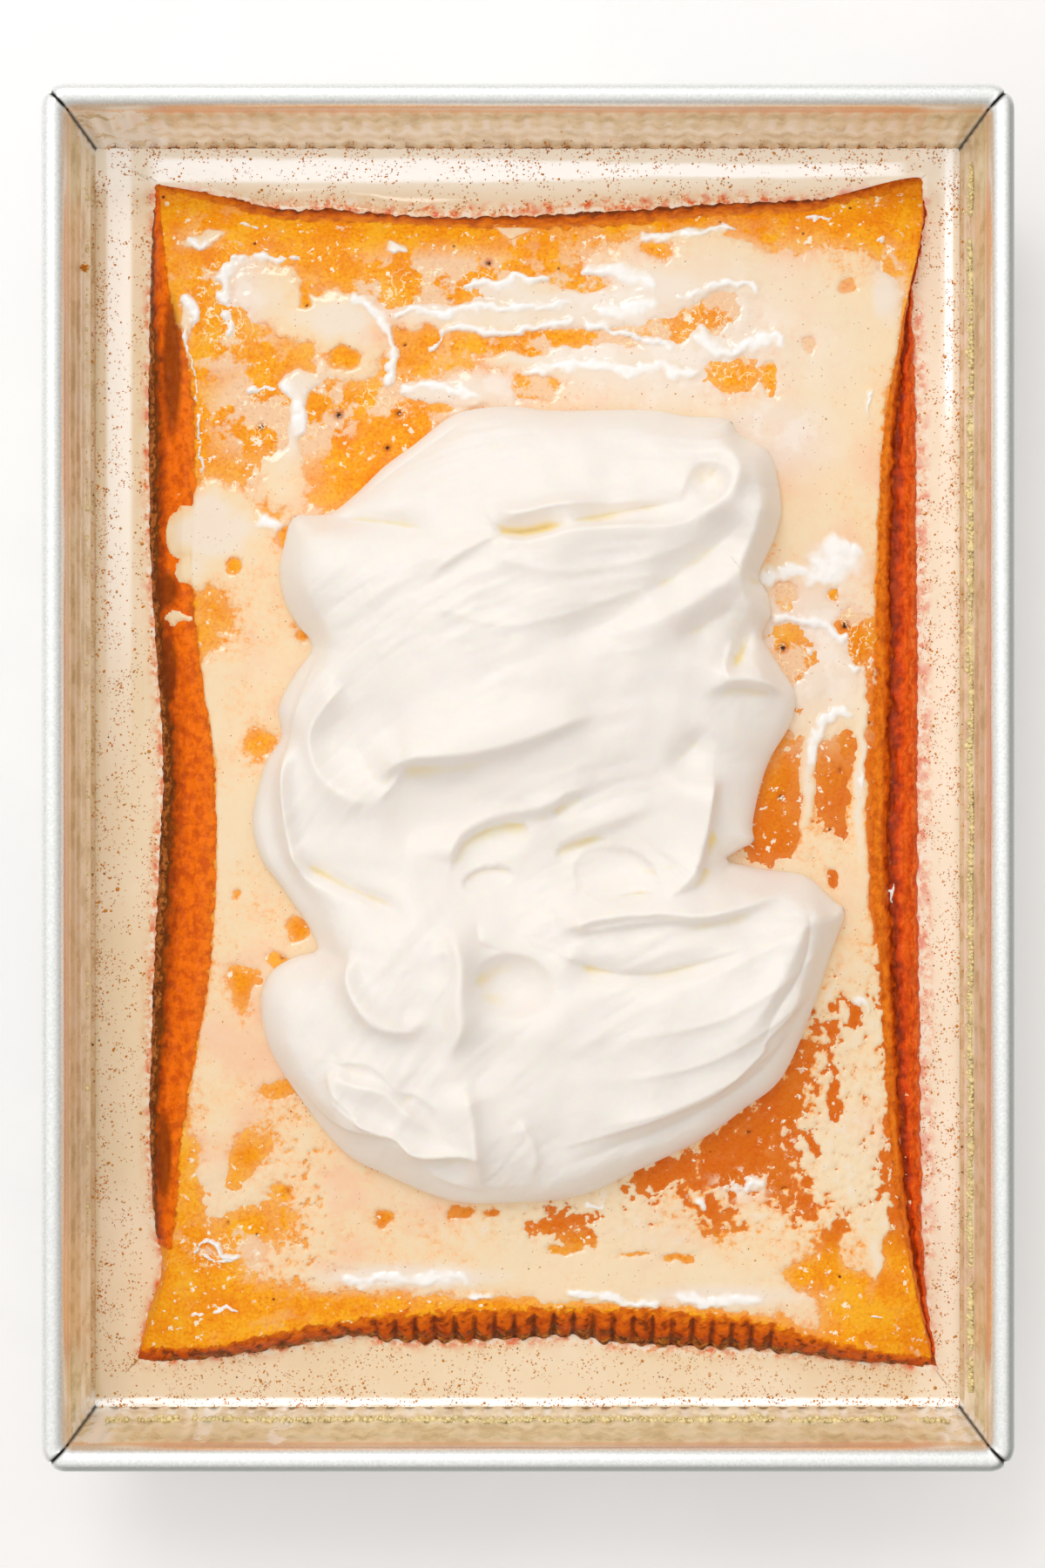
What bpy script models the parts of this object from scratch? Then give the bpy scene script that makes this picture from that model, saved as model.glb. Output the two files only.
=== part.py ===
"""A milk-soaked sheet cake in its baking pan, with a heap of whipped cream dropped on it.

Four bodies: the pan, the pool of milk round the cake, the cake and the cream. The long side lies
along Y, and the pan's base rests at z = 0. Sizes are in millimetres and become metres on the mesh.
"""

import math

import bmesh
import bpy
import numpy as np
from mathutils import Matrix, Vector

MM = 0.001

# Pan: a folded sheet with a rolled bead round its top
PAN_WIDTH = 249.0
PAN_LENGTH = 355.0
PAN_HEIGHT = 57.0
SHEET = 0.9
BEAD_RADIUS = 3.1
BEAD_CORNER = 3.5
BEAD_CORNER_STEPS = 4
BEAD_RESOLUTION = 2
BEAD_OVERHANG = 0.6
WALL_DRAFT = 2.6
FOLD_RADIUS = 3.0
FOLD_STEPS = 3
SEAM_WIDTH = 0.5
SEAM_DEPTH = 1.0
SEAM_LENGTH = 11.0

# Levels inside the pan, above the base
GAP = 0.3
MILK_LEVEL = 22.0
CAKE_TOP = 31.0
CAKE_TIP_DROP = 5.0
CAKE_TIP_REACH = 20.0
CAKE_FAR_DROP = 5.0
CAKE_FAR_REACH = 8.0
LEAST_OVER_MILK = 1.5
MILK_CLEARANCE = 0.7
HOLE_BOTTOM = -2.0
LEAST_SIDE_REACH = 1.0

# Low dents in the cake's top, which stay clear of the cream
DENT = 0.45
DENT_PITCH = (13.0, 17.0)
DENT_SHARES = (1.0, 0.6, 0.4)
DENT_PHASES = (1.3, 0.4)
DENT_CROSS_RATES = (1.9, 1.8)
DENT_START = 3.0
DENT_FADE = 12.0

# Flutes that the ribbed pan has left on the cake's two short sides
FLUTE_PITCH = 5.3
FLUTE_RADIUS = 1.5
FLUTE_DEPTH = 0.8
FLUTE_SIDES = 7
FLUTE_TAPER = 0.6
FLUTE_OVERRUN = 1.25
NEAR_FLUTES = (-46.0, 72.0)
FAR_FLUTES = (-68.0, 66.0)

# Cream: how its edge rounds over, and how thick it lies
CREAM_EDGE = 9.0
CREAM_EDGE_REACH = 14.0
CREAM_RISE = 8.5
CREAM_RISE_REACH = 18.0
CREAM_KEEP_REACH = 7.0
CREAM_LEAST_SHARE = 0.6
CREAM_LEVEL = 46.0
CREAM_FOOT_LEVEL = 35.0
CREAM_TUCK = 1.6
HOLLOW_LIP = 0.35
STROKE_GAIN = 1.2
STROKE_FADE = 8.0
STROKE_OVERRUN = 1.0
STROKE_SHARPNESS = 1.5

# Mesh density
CAKE_CELLS = (32, 44)
CAKE_CROWDING = 0.75
CREAM_CELLS = (46, 62)
CREAM_CROWDING = 0.5
CREAM_FINEST = 3.4
OUTLINE_STEPS = 480
CREAM_EDGE_STEPS = 160
STEPS_PER_SPAN = 6
LOOP_STEPS_PER_SPAN = 16
SMOOTH_ANGLE = 40.0

# Outlines are points seen from straight above, in a picture of 1200 by 1800 points, and
# seen_from_above turns them into places by the height of what they lie on.
PICTURE_MIDDLE = (600.0, 900.0)
VIEW_MIDDLE = (-1.34, -1.67)
POINTS_PER_MM_AT_RIM = 4.51
VIEW_DISTANCE_TO_RIM = 557.0

# Where the cake's sides meet the milk
CAKE_FOOT_LEFT = [
    (157, 1558), (172, 1500), (186, 1453), (176, 1400), (170, 1300), (172, 1150), (178, 1000),
    (184, 880), (176, 740), (170, 640), (168, 500), (168, 340), (170, 260), (174, 205),
]
CAKE_FOOT_RIGHT = [
    (1077, 1570), (1066, 1500), (1060, 1400), (1058, 1200), (1056, 1000), (1056, 800),
    (1054, 600), (1052, 440), (1048, 350), (1058, 280), (1067, 199),
]
CAKE_FOOT_FAR = [
    (174, 205), (245, 218), (318, 238), (383, 237), (471, 246), (555, 246), (638, 243),
    (715, 238), (830, 231), (929, 227), (983, 214), (1021, 205), (1067, 199),
]
CAKE_FOOT_NEAR = [
    (157, 1558), (180, 1564), (245, 1559), (325, 1548), (402, 1535), (459, 1543), (600, 1541),
    (657, 1537), (715, 1547), (868, 1553), (944, 1558), (1002, 1566), (1077, 1570),
]

# Where the cake's top breaks into its sides
CAKE_RIM_LEFT = [
    (160, 1556), (190, 1500), (203, 1440), (206, 1350), (214, 1270), (230, 1190), (243, 1100),
    (250, 980), (246, 860), (228, 760), (220, 660), (220, 560), (208, 440), (192, 340), (180, 240),
    (177, 207),
]
CAKE_RIM_RIGHT = [
    (1074, 1566), (1052, 1480), (1035, 1400), (1022, 1300), (1014, 1180), (1006, 1060),
    (1002, 980), (1004, 860), (1006, 700), (1010, 560), (1018, 470), (1030, 400), (1040, 337),
    (1052, 260), (1064, 201),
]
CAKE_RIM_FAR = [
    (175, 209), (245, 226), (320, 247), (428, 251), (555, 258), (683, 257), (830, 244),
    (929, 238), (1021, 214), (1066, 203),
]
CAKE_RIM_NEAR = [
    (158, 1555), (245, 1546), (330, 1528), (415, 1514), (500, 1507), (600, 1503), (700, 1503),
    (791, 1508), (870, 1517), (930, 1535), (1000, 1552), (1076, 1565),
]

# How the sides climb from foot (0) to rim (1): the share of the way across, then of the height.
# The right side has a ledge and a crease behind it, where the crust has folded away.
PLAIN_SIDE = [(0.0, 0.0), (0.12, 0.28), (0.4, 0.6), (0.75, 0.88), (1.0, 1.0)]
CREASED_SIDE = [(0.0, 0.0), (0.12, 0.34), (0.4, 0.52), (0.62, 0.4), (0.8, 0.8), (1.0, 1.0)]

CREAM_CORNERS = [(350, 1269), (880, 1256), (885, 520), (333, 600)]
CREAM_OUTLINE = [
    (335, 594), (360, 590), (381, 587), (410, 564), (441, 534), (475, 509), (523, 474), (583, 465),
    (640, 470), (742, 469), (786, 476), (835, 480), (850, 499), (885, 520), (898, 578), (892, 612),
    (880, 640), (871, 662), (883, 681), (886, 706), (876, 730), (894, 761), (914, 796), (908, 832),
    (885, 872), (872, 912), (865, 948), (866, 966), (846, 978), (836, 989), (880, 998), (926, 1006),
    (958, 1034), (971, 1048), (957, 1090), (930, 1170), (898, 1239), (854, 1275), (808, 1308),
    (735, 1344), (666, 1374), (594, 1382), (519, 1380), (441, 1349), (395, 1324), (349, 1269),
    (310, 1207), (298, 1150), (311, 1116), (338, 1099), (364, 1090), (352, 1062), (322, 1018),
    (298, 984), (289, 938), (304, 876), (322, 846), (319, 812), (337, 775), (358, 742), (340, 716),
    (326, 690), (320, 658), (324, 630),
]

# Broad rises and dips of the heap: middle, reach to either side and along, and height
CREAM_SWELLS = [
    ((650, 690), (190, 150), 5.0),
    ((560, 800), (110, 80), 2.0),
    ((470, 520), (110, 60), -2.5),
    ((385, 655), (52, 60), 3.0),
    ((870, 560), (45, 70), 3.0),
    ((620, 990), (140, 62), -5.5),
    ((455, 1085), (62, 55), 5.0),
    ((790, 1130), (150, 90), 4.5),
    ((430, 1200), (80, 70), 3.5),
    ((640, 1270), (130, 70), 2.0),
    ((330, 960), (40, 110), -4.0),
    ((900, 800), (50, 60), -2.0),
]

# Hollows that the spoon left: middle, half lengths, turn in degrees and depth
CREAM_HOLLOWS = [
    ((420, 845), (62, 70), 10, 4.0),
    ((500, 925), (70, 42), 20, 3.5),
    ((588, 1132), (52, 34), -5, 2.5),
    ((814, 553), (20, 26), 25, 3.5),
]

# Spoon marks with a crisp edge: middle, half lengths, turn in degrees and depth
CREAM_CUPS = [
    ((563, 976), (46, 20), 26, 3.0),
    ((560, 1011), (27, 13), 14, 2.0),
    ((668, 977), (30, 11), 16, 1.8),
    ((710, 1014), (48, 32), -12, 3.0),
    ((591, 1134), (46, 35), -6, 5.5),
]

# Ridges, and grooves where the height is below nothing: height, how far each falls away to the
# left and right of its path, and the path
CREAM_STROKES = [
    (-2.0, 2.5, 5.0, [(370, 586), (425, 597), (478, 603), (508, 622)]),
    (3.0, 2.0, 6.0, [(560, 590), (600, 592), (641, 584), (700, 580)]),
    (-3.5, 3.0, 2.5, [(556, 602), (600, 612), (657, 604)]),
    (-1.6, 3.0, 2.5, [(657, 604), (715, 592), (784, 577)]),
    (2.5, 1.8, 8.0, [(600, 627), (646, 617), (692, 611), (772, 607), (840, 580)]),
    (3.0, 4.0, 3.5, [(780, 582), (806, 590), (836, 566), (846, 536), (828, 516), (800, 526)]),
    (-4.0, 7.0, 4.0, [(856, 596), (800, 645), (715, 700)]),
    (3.5, 6.0, 7.0, [(880, 560), (862, 640), (800, 690), (747, 716), (680, 742)]),
    (-2.5, 6.0, 5.0, [(747, 690), (680, 722), (600, 747)]),
    (-3.0, 5.0, 4.0, [(856, 690), (812, 716), (772, 740)]),
    (-4.5, 2.5, 5.0, [(876, 704), (858, 740), (832, 780)]),
    (3.0, 1.6, 6.0, [(912, 796), (880, 785), (843, 780), (800, 800)]),
    (-3.0, 5.0, 4.0, [(816, 834), (790, 862), (761, 887)]),
    (4.0, 1.5, 7.0, [(822, 890), (814, 925), (808, 960), (794, 1004), (756, 1030)]),
    (2.0, 6.0, 2.0, [(600, 936), (634, 920), (685, 898)]),
    (2.0, 6.0, 1.8, [(640, 966), (690, 948), (749, 924)]),
    (3.0, 4.0, 4.0, [(397, 786), (360, 832), (358, 866), (376, 898), (418, 920), (452, 905)]),
    (4.5, 9.0, 2.2, [(430, 892), (471, 871), (515, 868), (567, 857), (592, 852)]),
    (4.0, 2.5, 3.5, [(328, 841), (322, 897), (330, 960), (345, 1003), (383, 1025), (440, 1046)]),
    (-3.5, 2.0, 3.0, [(340, 990), (395, 1018), (452, 1042), (470, 1060)]),
    (3.5, 3.0, 3.0, [(404, 1096), (402, 1126), (424, 1160), (464, 1180), (498, 1160)]),
    (5.0, 4.0, 2.0, [(520, 1060), (530, 1101), (528, 1147), (530, 1180), (508, 1215)]),
    (4.0, 5.0, 1.8, [(640, 1066), (690, 1052), (758, 1046), (811, 1048), (895, 1027), (930, 1008)]),
    (-3.5, 3.0, 4.0, [(652, 1098), (689, 1112), (749, 1116), (800, 1104), (856, 1088)]),
    (2.5, 4.0, 5.0, [(968, 1046), (930, 1056), (898, 1112), (860, 1172), (800, 1210)]),
    (-1.8, 3.0, 2.2, [(938, 1130), (925, 1161), (873, 1232), (792, 1285), (707, 1317), (620, 1349)]),
    (3.0, 1.8, 5.0, [(379, 1218), (400, 1240), (441, 1250), (475, 1280), (510, 1305)]),
    (2.5, 1.8, 4.0, [(372, 1243), (392, 1272), (430, 1296), (471, 1320), (544, 1322)]),
    (3.0, 2.0, 5.0, [(533, 1236), (539, 1278), (546, 1326), (548, 1366)]),
    (-2.5, 2.5, 2.5, [(326, 1128), (345, 1106), (372, 1098), (410, 1104)]),
]

# Each piece's colour, roughness and metallic value
FINISHES = {
    "pan": ((0.66, 0.67, 0.66, 1.0), 0.35, 1.0),
    "milk": ((0.87, 0.76, 0.58, 1.0), 0.2, 0.0),
    "cake": ((0.80, 0.33, 0.04, 1.0), 0.55, 0.0),
    "whipped_cream": ((0.93, 0.89, 0.82, 1.0), 0.45, 0.0),
}


def clear_scene():
    for obj in list(bpy.data.objects):
        bpy.data.objects.remove(obj)


def new_collection(name):
    collection = bpy.data.collections.new(name)
    bpy.context.scene.collection.children.link(collection)
    return collection


def seen_from_above(points, height):
    """Places in millimetres of picture points that lie at this height above the base."""
    picture = np.array(points, float)
    scale = POINTS_PER_MM_AT_RIM * VIEW_DISTANCE_TO_RIM / (VIEW_DISTANCE_TO_RIM + PAN_HEIGHT - height)
    across = (picture[:, 0] - PICTURE_MIDDLE[0]) / scale + VIEW_MIDDLE[0]
    along = (PICTURE_MIDDLE[1] - picture[:, 1]) / scale + VIEW_MIDDLE[1]
    return np.column_stack((across, along))


def smooth_path(points, per_span, closed=False):
    """Points on a curve that runs smoothly through the given ones."""
    points = np.asarray(points, float)
    count = len(points)
    spans = count if closed else count - 1
    places = np.arange(spans * per_span + (0 if closed else 1)) / per_span
    start = np.minimum(places.astype(int), spans - 1)
    share = (places - start)[:, None]
    index = [start - 1, start, start + 1, start + 2]
    index = [i % count if closed else np.clip(i, 0, count - 1) for i in index]
    before, here, there, after = (points[i] for i in index)
    bend = 2 * before - 5 * here + 4 * there - after
    swing = 3 * (here - there) + after - before
    return here + 0.5 * share * (there - before + share * (bend + share * swing))


def even_loop(points, count):
    """A closed smooth loop through the points, as this many evenly spaced ones."""
    path = smooth_path(points, LOOP_STEPS_PER_SPAN, closed=True)
    path = np.vstack((path, path[:1]))
    run = np.concatenate(([0.0], np.cumsum(np.linalg.norm(np.diff(path, axis=0), axis=1))))
    places = np.linspace(0.0, run[-1], count, endpoint=False)
    return np.column_stack([np.interp(places, run, path[:, axis]) for axis in range(2)])


def offset_from_path(places, path):
    """Each place's distance from the path, its side (1 left, -1 right) and how far along it is."""
    start = path[:-1]
    step = np.diff(path, axis=0)
    length = np.linalg.norm(step, axis=1)
    run = np.concatenate(([0.0], np.cumsum(length)))
    best = np.full(len(places), np.inf)
    side = np.ones(len(places))
    along = np.zeros(len(places))
    for k in range(len(step)):
        away = places - start[k]
        share = np.clip(away @ step[k] / length[k] ** 2, 0.0, 1.0)
        distance = np.linalg.norm(away - share[:, None] * step[k], axis=1)
        nearer = distance < best
        best[nearer] = distance[nearer]
        turn = step[k, 0] * away[:, 1] - step[k, 1] * away[:, 0]
        side[nearer] = np.sign(turn)[nearer]
        along[nearer] = (run[k] + share * length[k])[nearer]
    return best, side, along, run[-1]


def inside_loop(x, y, loop):
    """Which places lie inside a closed run of points."""
    inside = np.zeros(np.shape(x), bool)
    for here, there in zip(loop[:-1], loop[1:]):
        if here[1] == there[1]:
            continue
        between = (here[1] > y) != (there[1] > y)
        crossing = here[0] + (y - here[1]) / (there[1] - here[1]) * (there[0] - here[0])
        inside ^= between & (x < crossing)
    return inside


def smooth_step(share):
    share = np.clip(share, 0.0, 1.0)
    return share * share * (3 - 2 * share)


def new_object(name, bm, collection):
    """An object from a mesh in millimetres."""
    bmesh.ops.scale(bm, vec=(MM, MM, MM), verts=bm.verts)
    mesh = bpy.data.meshes.new(name)
    bm.to_mesh(mesh)
    bm.free()
    obj = bpy.data.objects.new(name, mesh)
    collection.objects.link(obj)
    return obj


def as_cutter(obj):
    obj.hide_render = True
    obj.display_type = "WIRE"
    return obj


def add_boolean(obj, operation, other):
    modifier = obj.modifiers.new(f"{operation.lower()} {other.name}", "BOOLEAN")
    modifier.operation = operation
    modifier.solver = "EXACT"
    modifier.object = other


def wall_inner_half(height):
    """Half the pan's inner width and length at this height: the walls lean out a little."""
    top_x = PAN_WIDTH / 2 - 2 * BEAD_RADIUS + BEAD_OVERHANG
    top_y = PAN_LENGTH / 2 - 2 * BEAD_RADIUS + BEAD_OVERHANG
    lean = WALL_DRAFT * (1 - height / PAN_HEIGHT)
    return top_x - lean, top_y - lean


def tapered_box(bottom, top, growth):
    """A box that follows the pan's walls between two heights, set out from them by growth."""
    bm = bmesh.new()
    bmesh.ops.create_cube(bm, size=2.0)
    for vert in bm.verts:
        height = top if vert.co.z > 0 else bottom
        half_x, half_y = wall_inner_half(height)
        vert.co = Vector((vert.co.x * (half_x + growth), vert.co.y * (half_y + growth), height))
    return bm


def round_folds(bm, radius, lowest):
    """Rounds the four upright edges and the four along the bottom."""
    edges = []
    for edge in bm.edges:
        upright = abs(edge.verts[0].co.z - edge.verts[1].co.z) > radius
        at_bottom = max(vert.co.z for vert in edge.verts) < lowest + radius
        if upright or at_bottom:
            edges.append(edge)
    bmesh.ops.bevel(bm, geom=edges, offset=radius, segments=FOLD_STEPS, profile=0.5, affect="EDGES")


def add_bead(collection):
    """The rolled bead round the top: a bevelled curve on a rectangle with round corners."""
    half_x = PAN_WIDTH / 2 - BEAD_RADIUS
    half_y = PAN_LENGTH / 2 - BEAD_RADIUS
    curve = bpy.data.curves.new("bead", "CURVE")
    curve.dimensions = "3D"
    curve.bevel_depth = BEAD_RADIUS * MM
    curve.bevel_resolution = BEAD_RESOLUTION
    points = []
    for turn in range(4):
        side_x = (1, -1, -1, 1)[turn]
        side_y = (1, 1, -1, -1)[turn]
        for step in range(BEAD_CORNER_STEPS):
            angle = math.radians(90 * (turn + step / (BEAD_CORNER_STEPS - 1)))
            x = side_x * (half_x - BEAD_CORNER) + BEAD_CORNER * math.cos(angle)
            y = side_y * (half_y - BEAD_CORNER) + BEAD_CORNER * math.sin(angle)
            points.append((x * MM, y * MM, (PAN_HEIGHT - BEAD_RADIUS) * MM))
    spline = curve.splines.new("POLY")
    spline.points.add(len(points) - 1)
    for point, place in zip(spline.points, points):
        point.co = (*place, 1.0)
    spline.use_cyclic_u = True
    guide = bpy.data.objects.new("bead guide", curve)
    collection.objects.link(guide)
    bpy.context.view_layer.update()
    evaluated = guide.evaluated_get(bpy.context.evaluated_depsgraph_get())
    mesh = bpy.data.meshes.new_from_object(evaluated)
    bead = bpy.data.objects.new("bead", mesh)
    bead.matrix_world = guide.matrix_world
    collection.objects.link(bead)
    bpy.data.objects.remove(guide)
    return as_cutter(bead)


def add_seam_cutter(collection):
    """Four thin blades that cut the mitre across the bead at each corner."""
    bm = bmesh.new()
    for side_x in (-1, 1):
        for side_y in (-1, 1):
            blade = bmesh.ops.create_cube(bm, size=1.0)["verts"]
            bmesh.ops.scale(bm, vec=(SEAM_LENGTH, SEAM_WIDTH, 2 * SEAM_DEPTH), verts=blade)
            turn = Matrix.Rotation(math.atan2(side_y, side_x), 3, "Z")
            bmesh.ops.rotate(bm, cent=(0, 0, 0), matrix=turn, verts=blade)
            corner_x = side_x * (PAN_WIDTH / 2 - BEAD_RADIUS)
            corner_y = side_y * (PAN_LENGTH / 2 - BEAD_RADIUS)
            bmesh.ops.translate(bm, vec=(corner_x, corner_y, PAN_HEIGHT), verts=blade)
    return as_cutter(new_object("seams", bm, collection))


def add_pan(parts, cutters):
    bm = tapered_box(0.0, PAN_HEIGHT - BEAD_RADIUS, SHEET)
    top = [face for face in bm.faces if face.normal.z > 0.9]
    bmesh.ops.delete(bm, geom=top, context="FACES_ONLY")
    round_folds(bm, FOLD_RADIUS, 0.0)
    pan = new_object("pan", bm, parts)
    shell = pan.modifiers.new("sheet", "SOLIDIFY")
    shell.thickness = SHEET * MM
    shell.offset = -1.0
    shell.use_even_offset = True
    add_boolean(pan, "UNION", add_bead(cutters))
    add_boolean(pan, "DIFFERENCE", add_seam_cutter(cutters))
    return pan


def along_run(run, share):
    """Places at these shares of a run's length."""
    length = np.concatenate(([0.0], np.cumsum(np.linalg.norm(np.diff(run, axis=0), axis=1))))
    return np.column_stack([np.interp(share * length[-1], length, run[:, axis]) for axis in range(2)])


def drawn_square(sides, u, v):
    """Where points of the unit square go when its near, right, far and left sides become these runs."""
    near, right, far, left = sides
    u_share, v_share = u[:, None], v[:, None]
    between_ends = along_run(near, u) * (1 - v_share) + along_run(far, u) * v_share
    between_sides = along_run(left, v) * (1 - u_share) + along_run(right, v) * u_share
    near_corners = near[0] * (1 - u_share) + near[-1] * u_share
    far_corners = far[0] * (1 - u_share) + far[-1] * u_share
    return between_ends + between_sides - near_corners * (1 - v_share) - far_corners * v_share


class CakeForm:
    """The cake's foot and rim on all four sides, and its height anywhere."""

    def __init__(self):
        self.foot = {}
        self.rim = {}
        feet = (CAKE_FOOT_LEFT, CAKE_FOOT_RIGHT, CAKE_FOOT_FAR, CAKE_FOOT_NEAR)
        rims = (CAKE_RIM_LEFT, CAKE_RIM_RIGHT, CAKE_RIM_FAR, CAKE_RIM_NEAR)
        for name, foot, rim in zip(("left", "right", "far", "near"), feet, rims):
            self.foot[name] = self.side_line(foot, MILK_LEVEL, name)
            self.rim[name] = self.side_line(rim, CAKE_TOP, name)
        edge = even_loop(seen_from_above(CREAM_OUTLINE, CREAM_FOOT_LEVEL), CREAM_EDGE_STEPS)
        self.cream_edge = np.vstack((edge, edge[:1]))

    @staticmethod
    def side_line(points, height, name):
        """A side as (where along it, how far out it is), in rising order."""
        path = smooth_path(seen_from_above(points, height), STEPS_PER_SPAN)
        upright = name in ("left", "right")
        along, out = (path[:, 1], path[:, 0]) if upright else (path[:, 0], path[:, 1])
        order = np.argsort(along)
        return along[order], out[order]

    def line(self, table, name, along):
        return np.interp(along, *table[name])

    def climb(self, name, x, y):
        """The share of the side's height that is reached at each place."""
        upright = name in ("left", "right")
        along, out = (y, x) if upright else (x, y)
        foot = self.line(self.foot, name, along)
        rim = self.line(self.rim, name, along)
        reach = np.sign(rim - foot) * np.maximum(np.abs(rim - foot), LEAST_SIDE_REACH)
        share = np.clip((out - foot) / reach, 0.0, 1.0)
        table = CREASED_SIDE if name == "right" else PLAIN_SIDE
        return np.interp(share, *zip(*table))

    def top(self, x, y):
        """The height of the top where no side pulls it down."""
        height = np.full(np.shape(x), CAKE_TOP)
        far = self.line(self.foot, "far", x) - y
        height = height - CAKE_FAR_DROP * np.exp(-((np.maximum(far, 0.0) / CAKE_FAR_REACH) ** 2))
        for side in ("far", "near"):
            for end in (0, -1):
                tip_x = self.foot[side][0][end]
                tip_y = self.foot[side][1][end]
                away = np.hypot(x - tip_x, y - tip_y) / CAKE_TIP_REACH
                height = height - CAKE_TIP_DROP * np.exp(-(away**2))
        across, along = x / DENT_PITCH[0], y / DENT_PITCH[1]
        wave = np.sin(across + DENT_PHASES[0]) * np.sin(along + DENT_PHASES[1])
        cross = np.sin(DENT_CROSS_RATES[0] * across - DENT_CROSS_RATES[1] * along)
        clear = offset_from_path(np.column_stack((x, y)), self.cream_edge)[0]
        shown = smooth_step((clear - DENT_START) / DENT_FADE) * ~inside_loop(x, y, self.cream_edge)
        even, waved, crossed = DENT_SHARES
        height = height - DENT * (even + waved * wave + crossed * cross) * shown
        return np.maximum(height, MILK_LEVEL + LEAST_OVER_MILK)

    def height(self, x, y):
        """The height of the cake's surface at each place, its sides included."""
        share = np.ones(np.shape(x))
        for name in self.foot:
            share = np.minimum(share, self.climb(name, x, y))
        return MILK_LEVEL - GAP + (self.top(x, y) - MILK_LEVEL + GAP) * share

    def sides(self):
        """The foot as four runs: near and far ones go rightwards, left and right ones away."""
        near, far = (np.column_stack(self.foot[name]) for name in ("near", "far"))
        left, right = (np.column_stack(self.foot[name][::-1]) for name in ("left", "right"))
        return near, right, far, left


def towards_ends(share, strength):
    """Moves evenly spaced grid lines towards both ends, where the sides are."""
    return share + strength * (0.5 - 0.5 * np.cos(math.pi * share) - share)


def cake_body(form, growth, bottom):
    """The cake from its top down to bottom, set out all round by growth."""
    bm = bmesh.new()
    bmesh.ops.create_grid(bm, x_segments=CAKE_CELLS[0], y_segments=CAKE_CELLS[1], size=1.0)
    square = np.array([vert.co[:2] for vert in bm.verts]) * 0.5 + 0.5
    u, v = towards_ends(square, CAKE_CROWDING).T
    x, y = drawn_square(form.sides(), u, v).T
    z = form.height(x, y) + growth
    x = x + growth * (2 * u - 1)
    y = y + growth * (2 * v - 1)
    for vert, place in zip(bm.verts, zip(x, y, z)):
        vert.co = place
    rim = [edge for edge in bm.edges if edge.is_boundary]
    skirt = bmesh.ops.extrude_edge_only(bm, edges=rim)["geom"]
    lower = [item for item in skirt if isinstance(item, bmesh.types.BMVert)]
    for vert in lower:
        vert.co.z = bottom
    bmesh.ops.contextual_create(bm, geom=[edge for edge in bm.edges if edge.is_boundary])
    bmesh.ops.recalc_face_normals(bm, faces=bm.faces)
    return bm


def add_flute_rod(bm, foot, rim, outward):
    """A slim rod that lies along a short side's slope, sunk in it by the flute's depth."""
    slope = (rim - foot).normalized()
    out = Vector((0, outward * slope.z, abs(slope.y)))
    middle = (rim + foot) / 2 + out * (FLUTE_RADIUS - FLUTE_DEPTH)
    turn = slope.to_track_quat("Z", "X").to_matrix().to_4x4()
    bmesh.ops.create_cone(
        bm,
        cap_ends=True,
        segments=FLUTE_SIDES,
        radius1=FLUTE_RADIUS,
        radius2=FLUTE_RADIUS * FLUTE_TAPER,
        depth=(rim - foot).length * FLUTE_OVERRUN,
        matrix=Matrix.Translation(middle) @ turn,
    )


def add_flute_cutter(form, collection):
    """Rods on the two short sides: each cuts one flute, from the rim down to the foot."""
    bm = bmesh.new()
    for name, (first, last), outward in (("near", NEAR_FLUTES, -1), ("far", FAR_FLUTES, 1)):
        for x in np.arange(first, last, FLUTE_PITCH):
            rim_y = form.line(form.rim, name, x)
            rim_z = form.height(np.array([x]), np.array([rim_y]))[0]
            foot = Vector((x, form.line(form.foot, name, x), MILK_LEVEL))
            add_flute_rod(bm, foot, Vector((x, rim_y, rim_z)), outward)
    return as_cutter(new_object("flutes", bm, collection))


def add_cake(form, parts, cutters):
    cake = new_object("cake", cake_body(form, 0.0, SHEET + GAP), parts)
    add_boolean(cake, "DIFFERENCE", add_flute_cutter(form, cutters))
    return cake


def add_milk(form, parts, cutters):
    """The pool, up to the level shown, cut round the cake."""
    bm = tapered_box(SHEET + GAP, MILK_LEVEL, -GAP)
    round_folds(bm, FOLD_RADIUS - SHEET, SHEET + GAP)
    milk = new_object("milk", bm, parts)
    hole = as_cutter(new_object("hole", cake_body(form, MILK_CLEARANCE, HOLE_BOTTOM), cutters))
    add_boolean(milk, "DIFFERENCE", hole)
    return milk


def ellipse_reach(places, middle, half, turn):
    """How far out of a turned ellipse on the cream each place is: 1 on its edge, squared."""
    away = (places - seen_from_above([middle], CREAM_LEVEL)) * POINTS_PER_MM_AT_RIM
    cos, sin = math.cos(math.radians(turn)), math.sin(math.radians(turn))
    turned = away @ np.array([[cos, -sin], [sin, cos]])
    return (turned**2 / np.array(half) ** 2).sum(axis=1)


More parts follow.
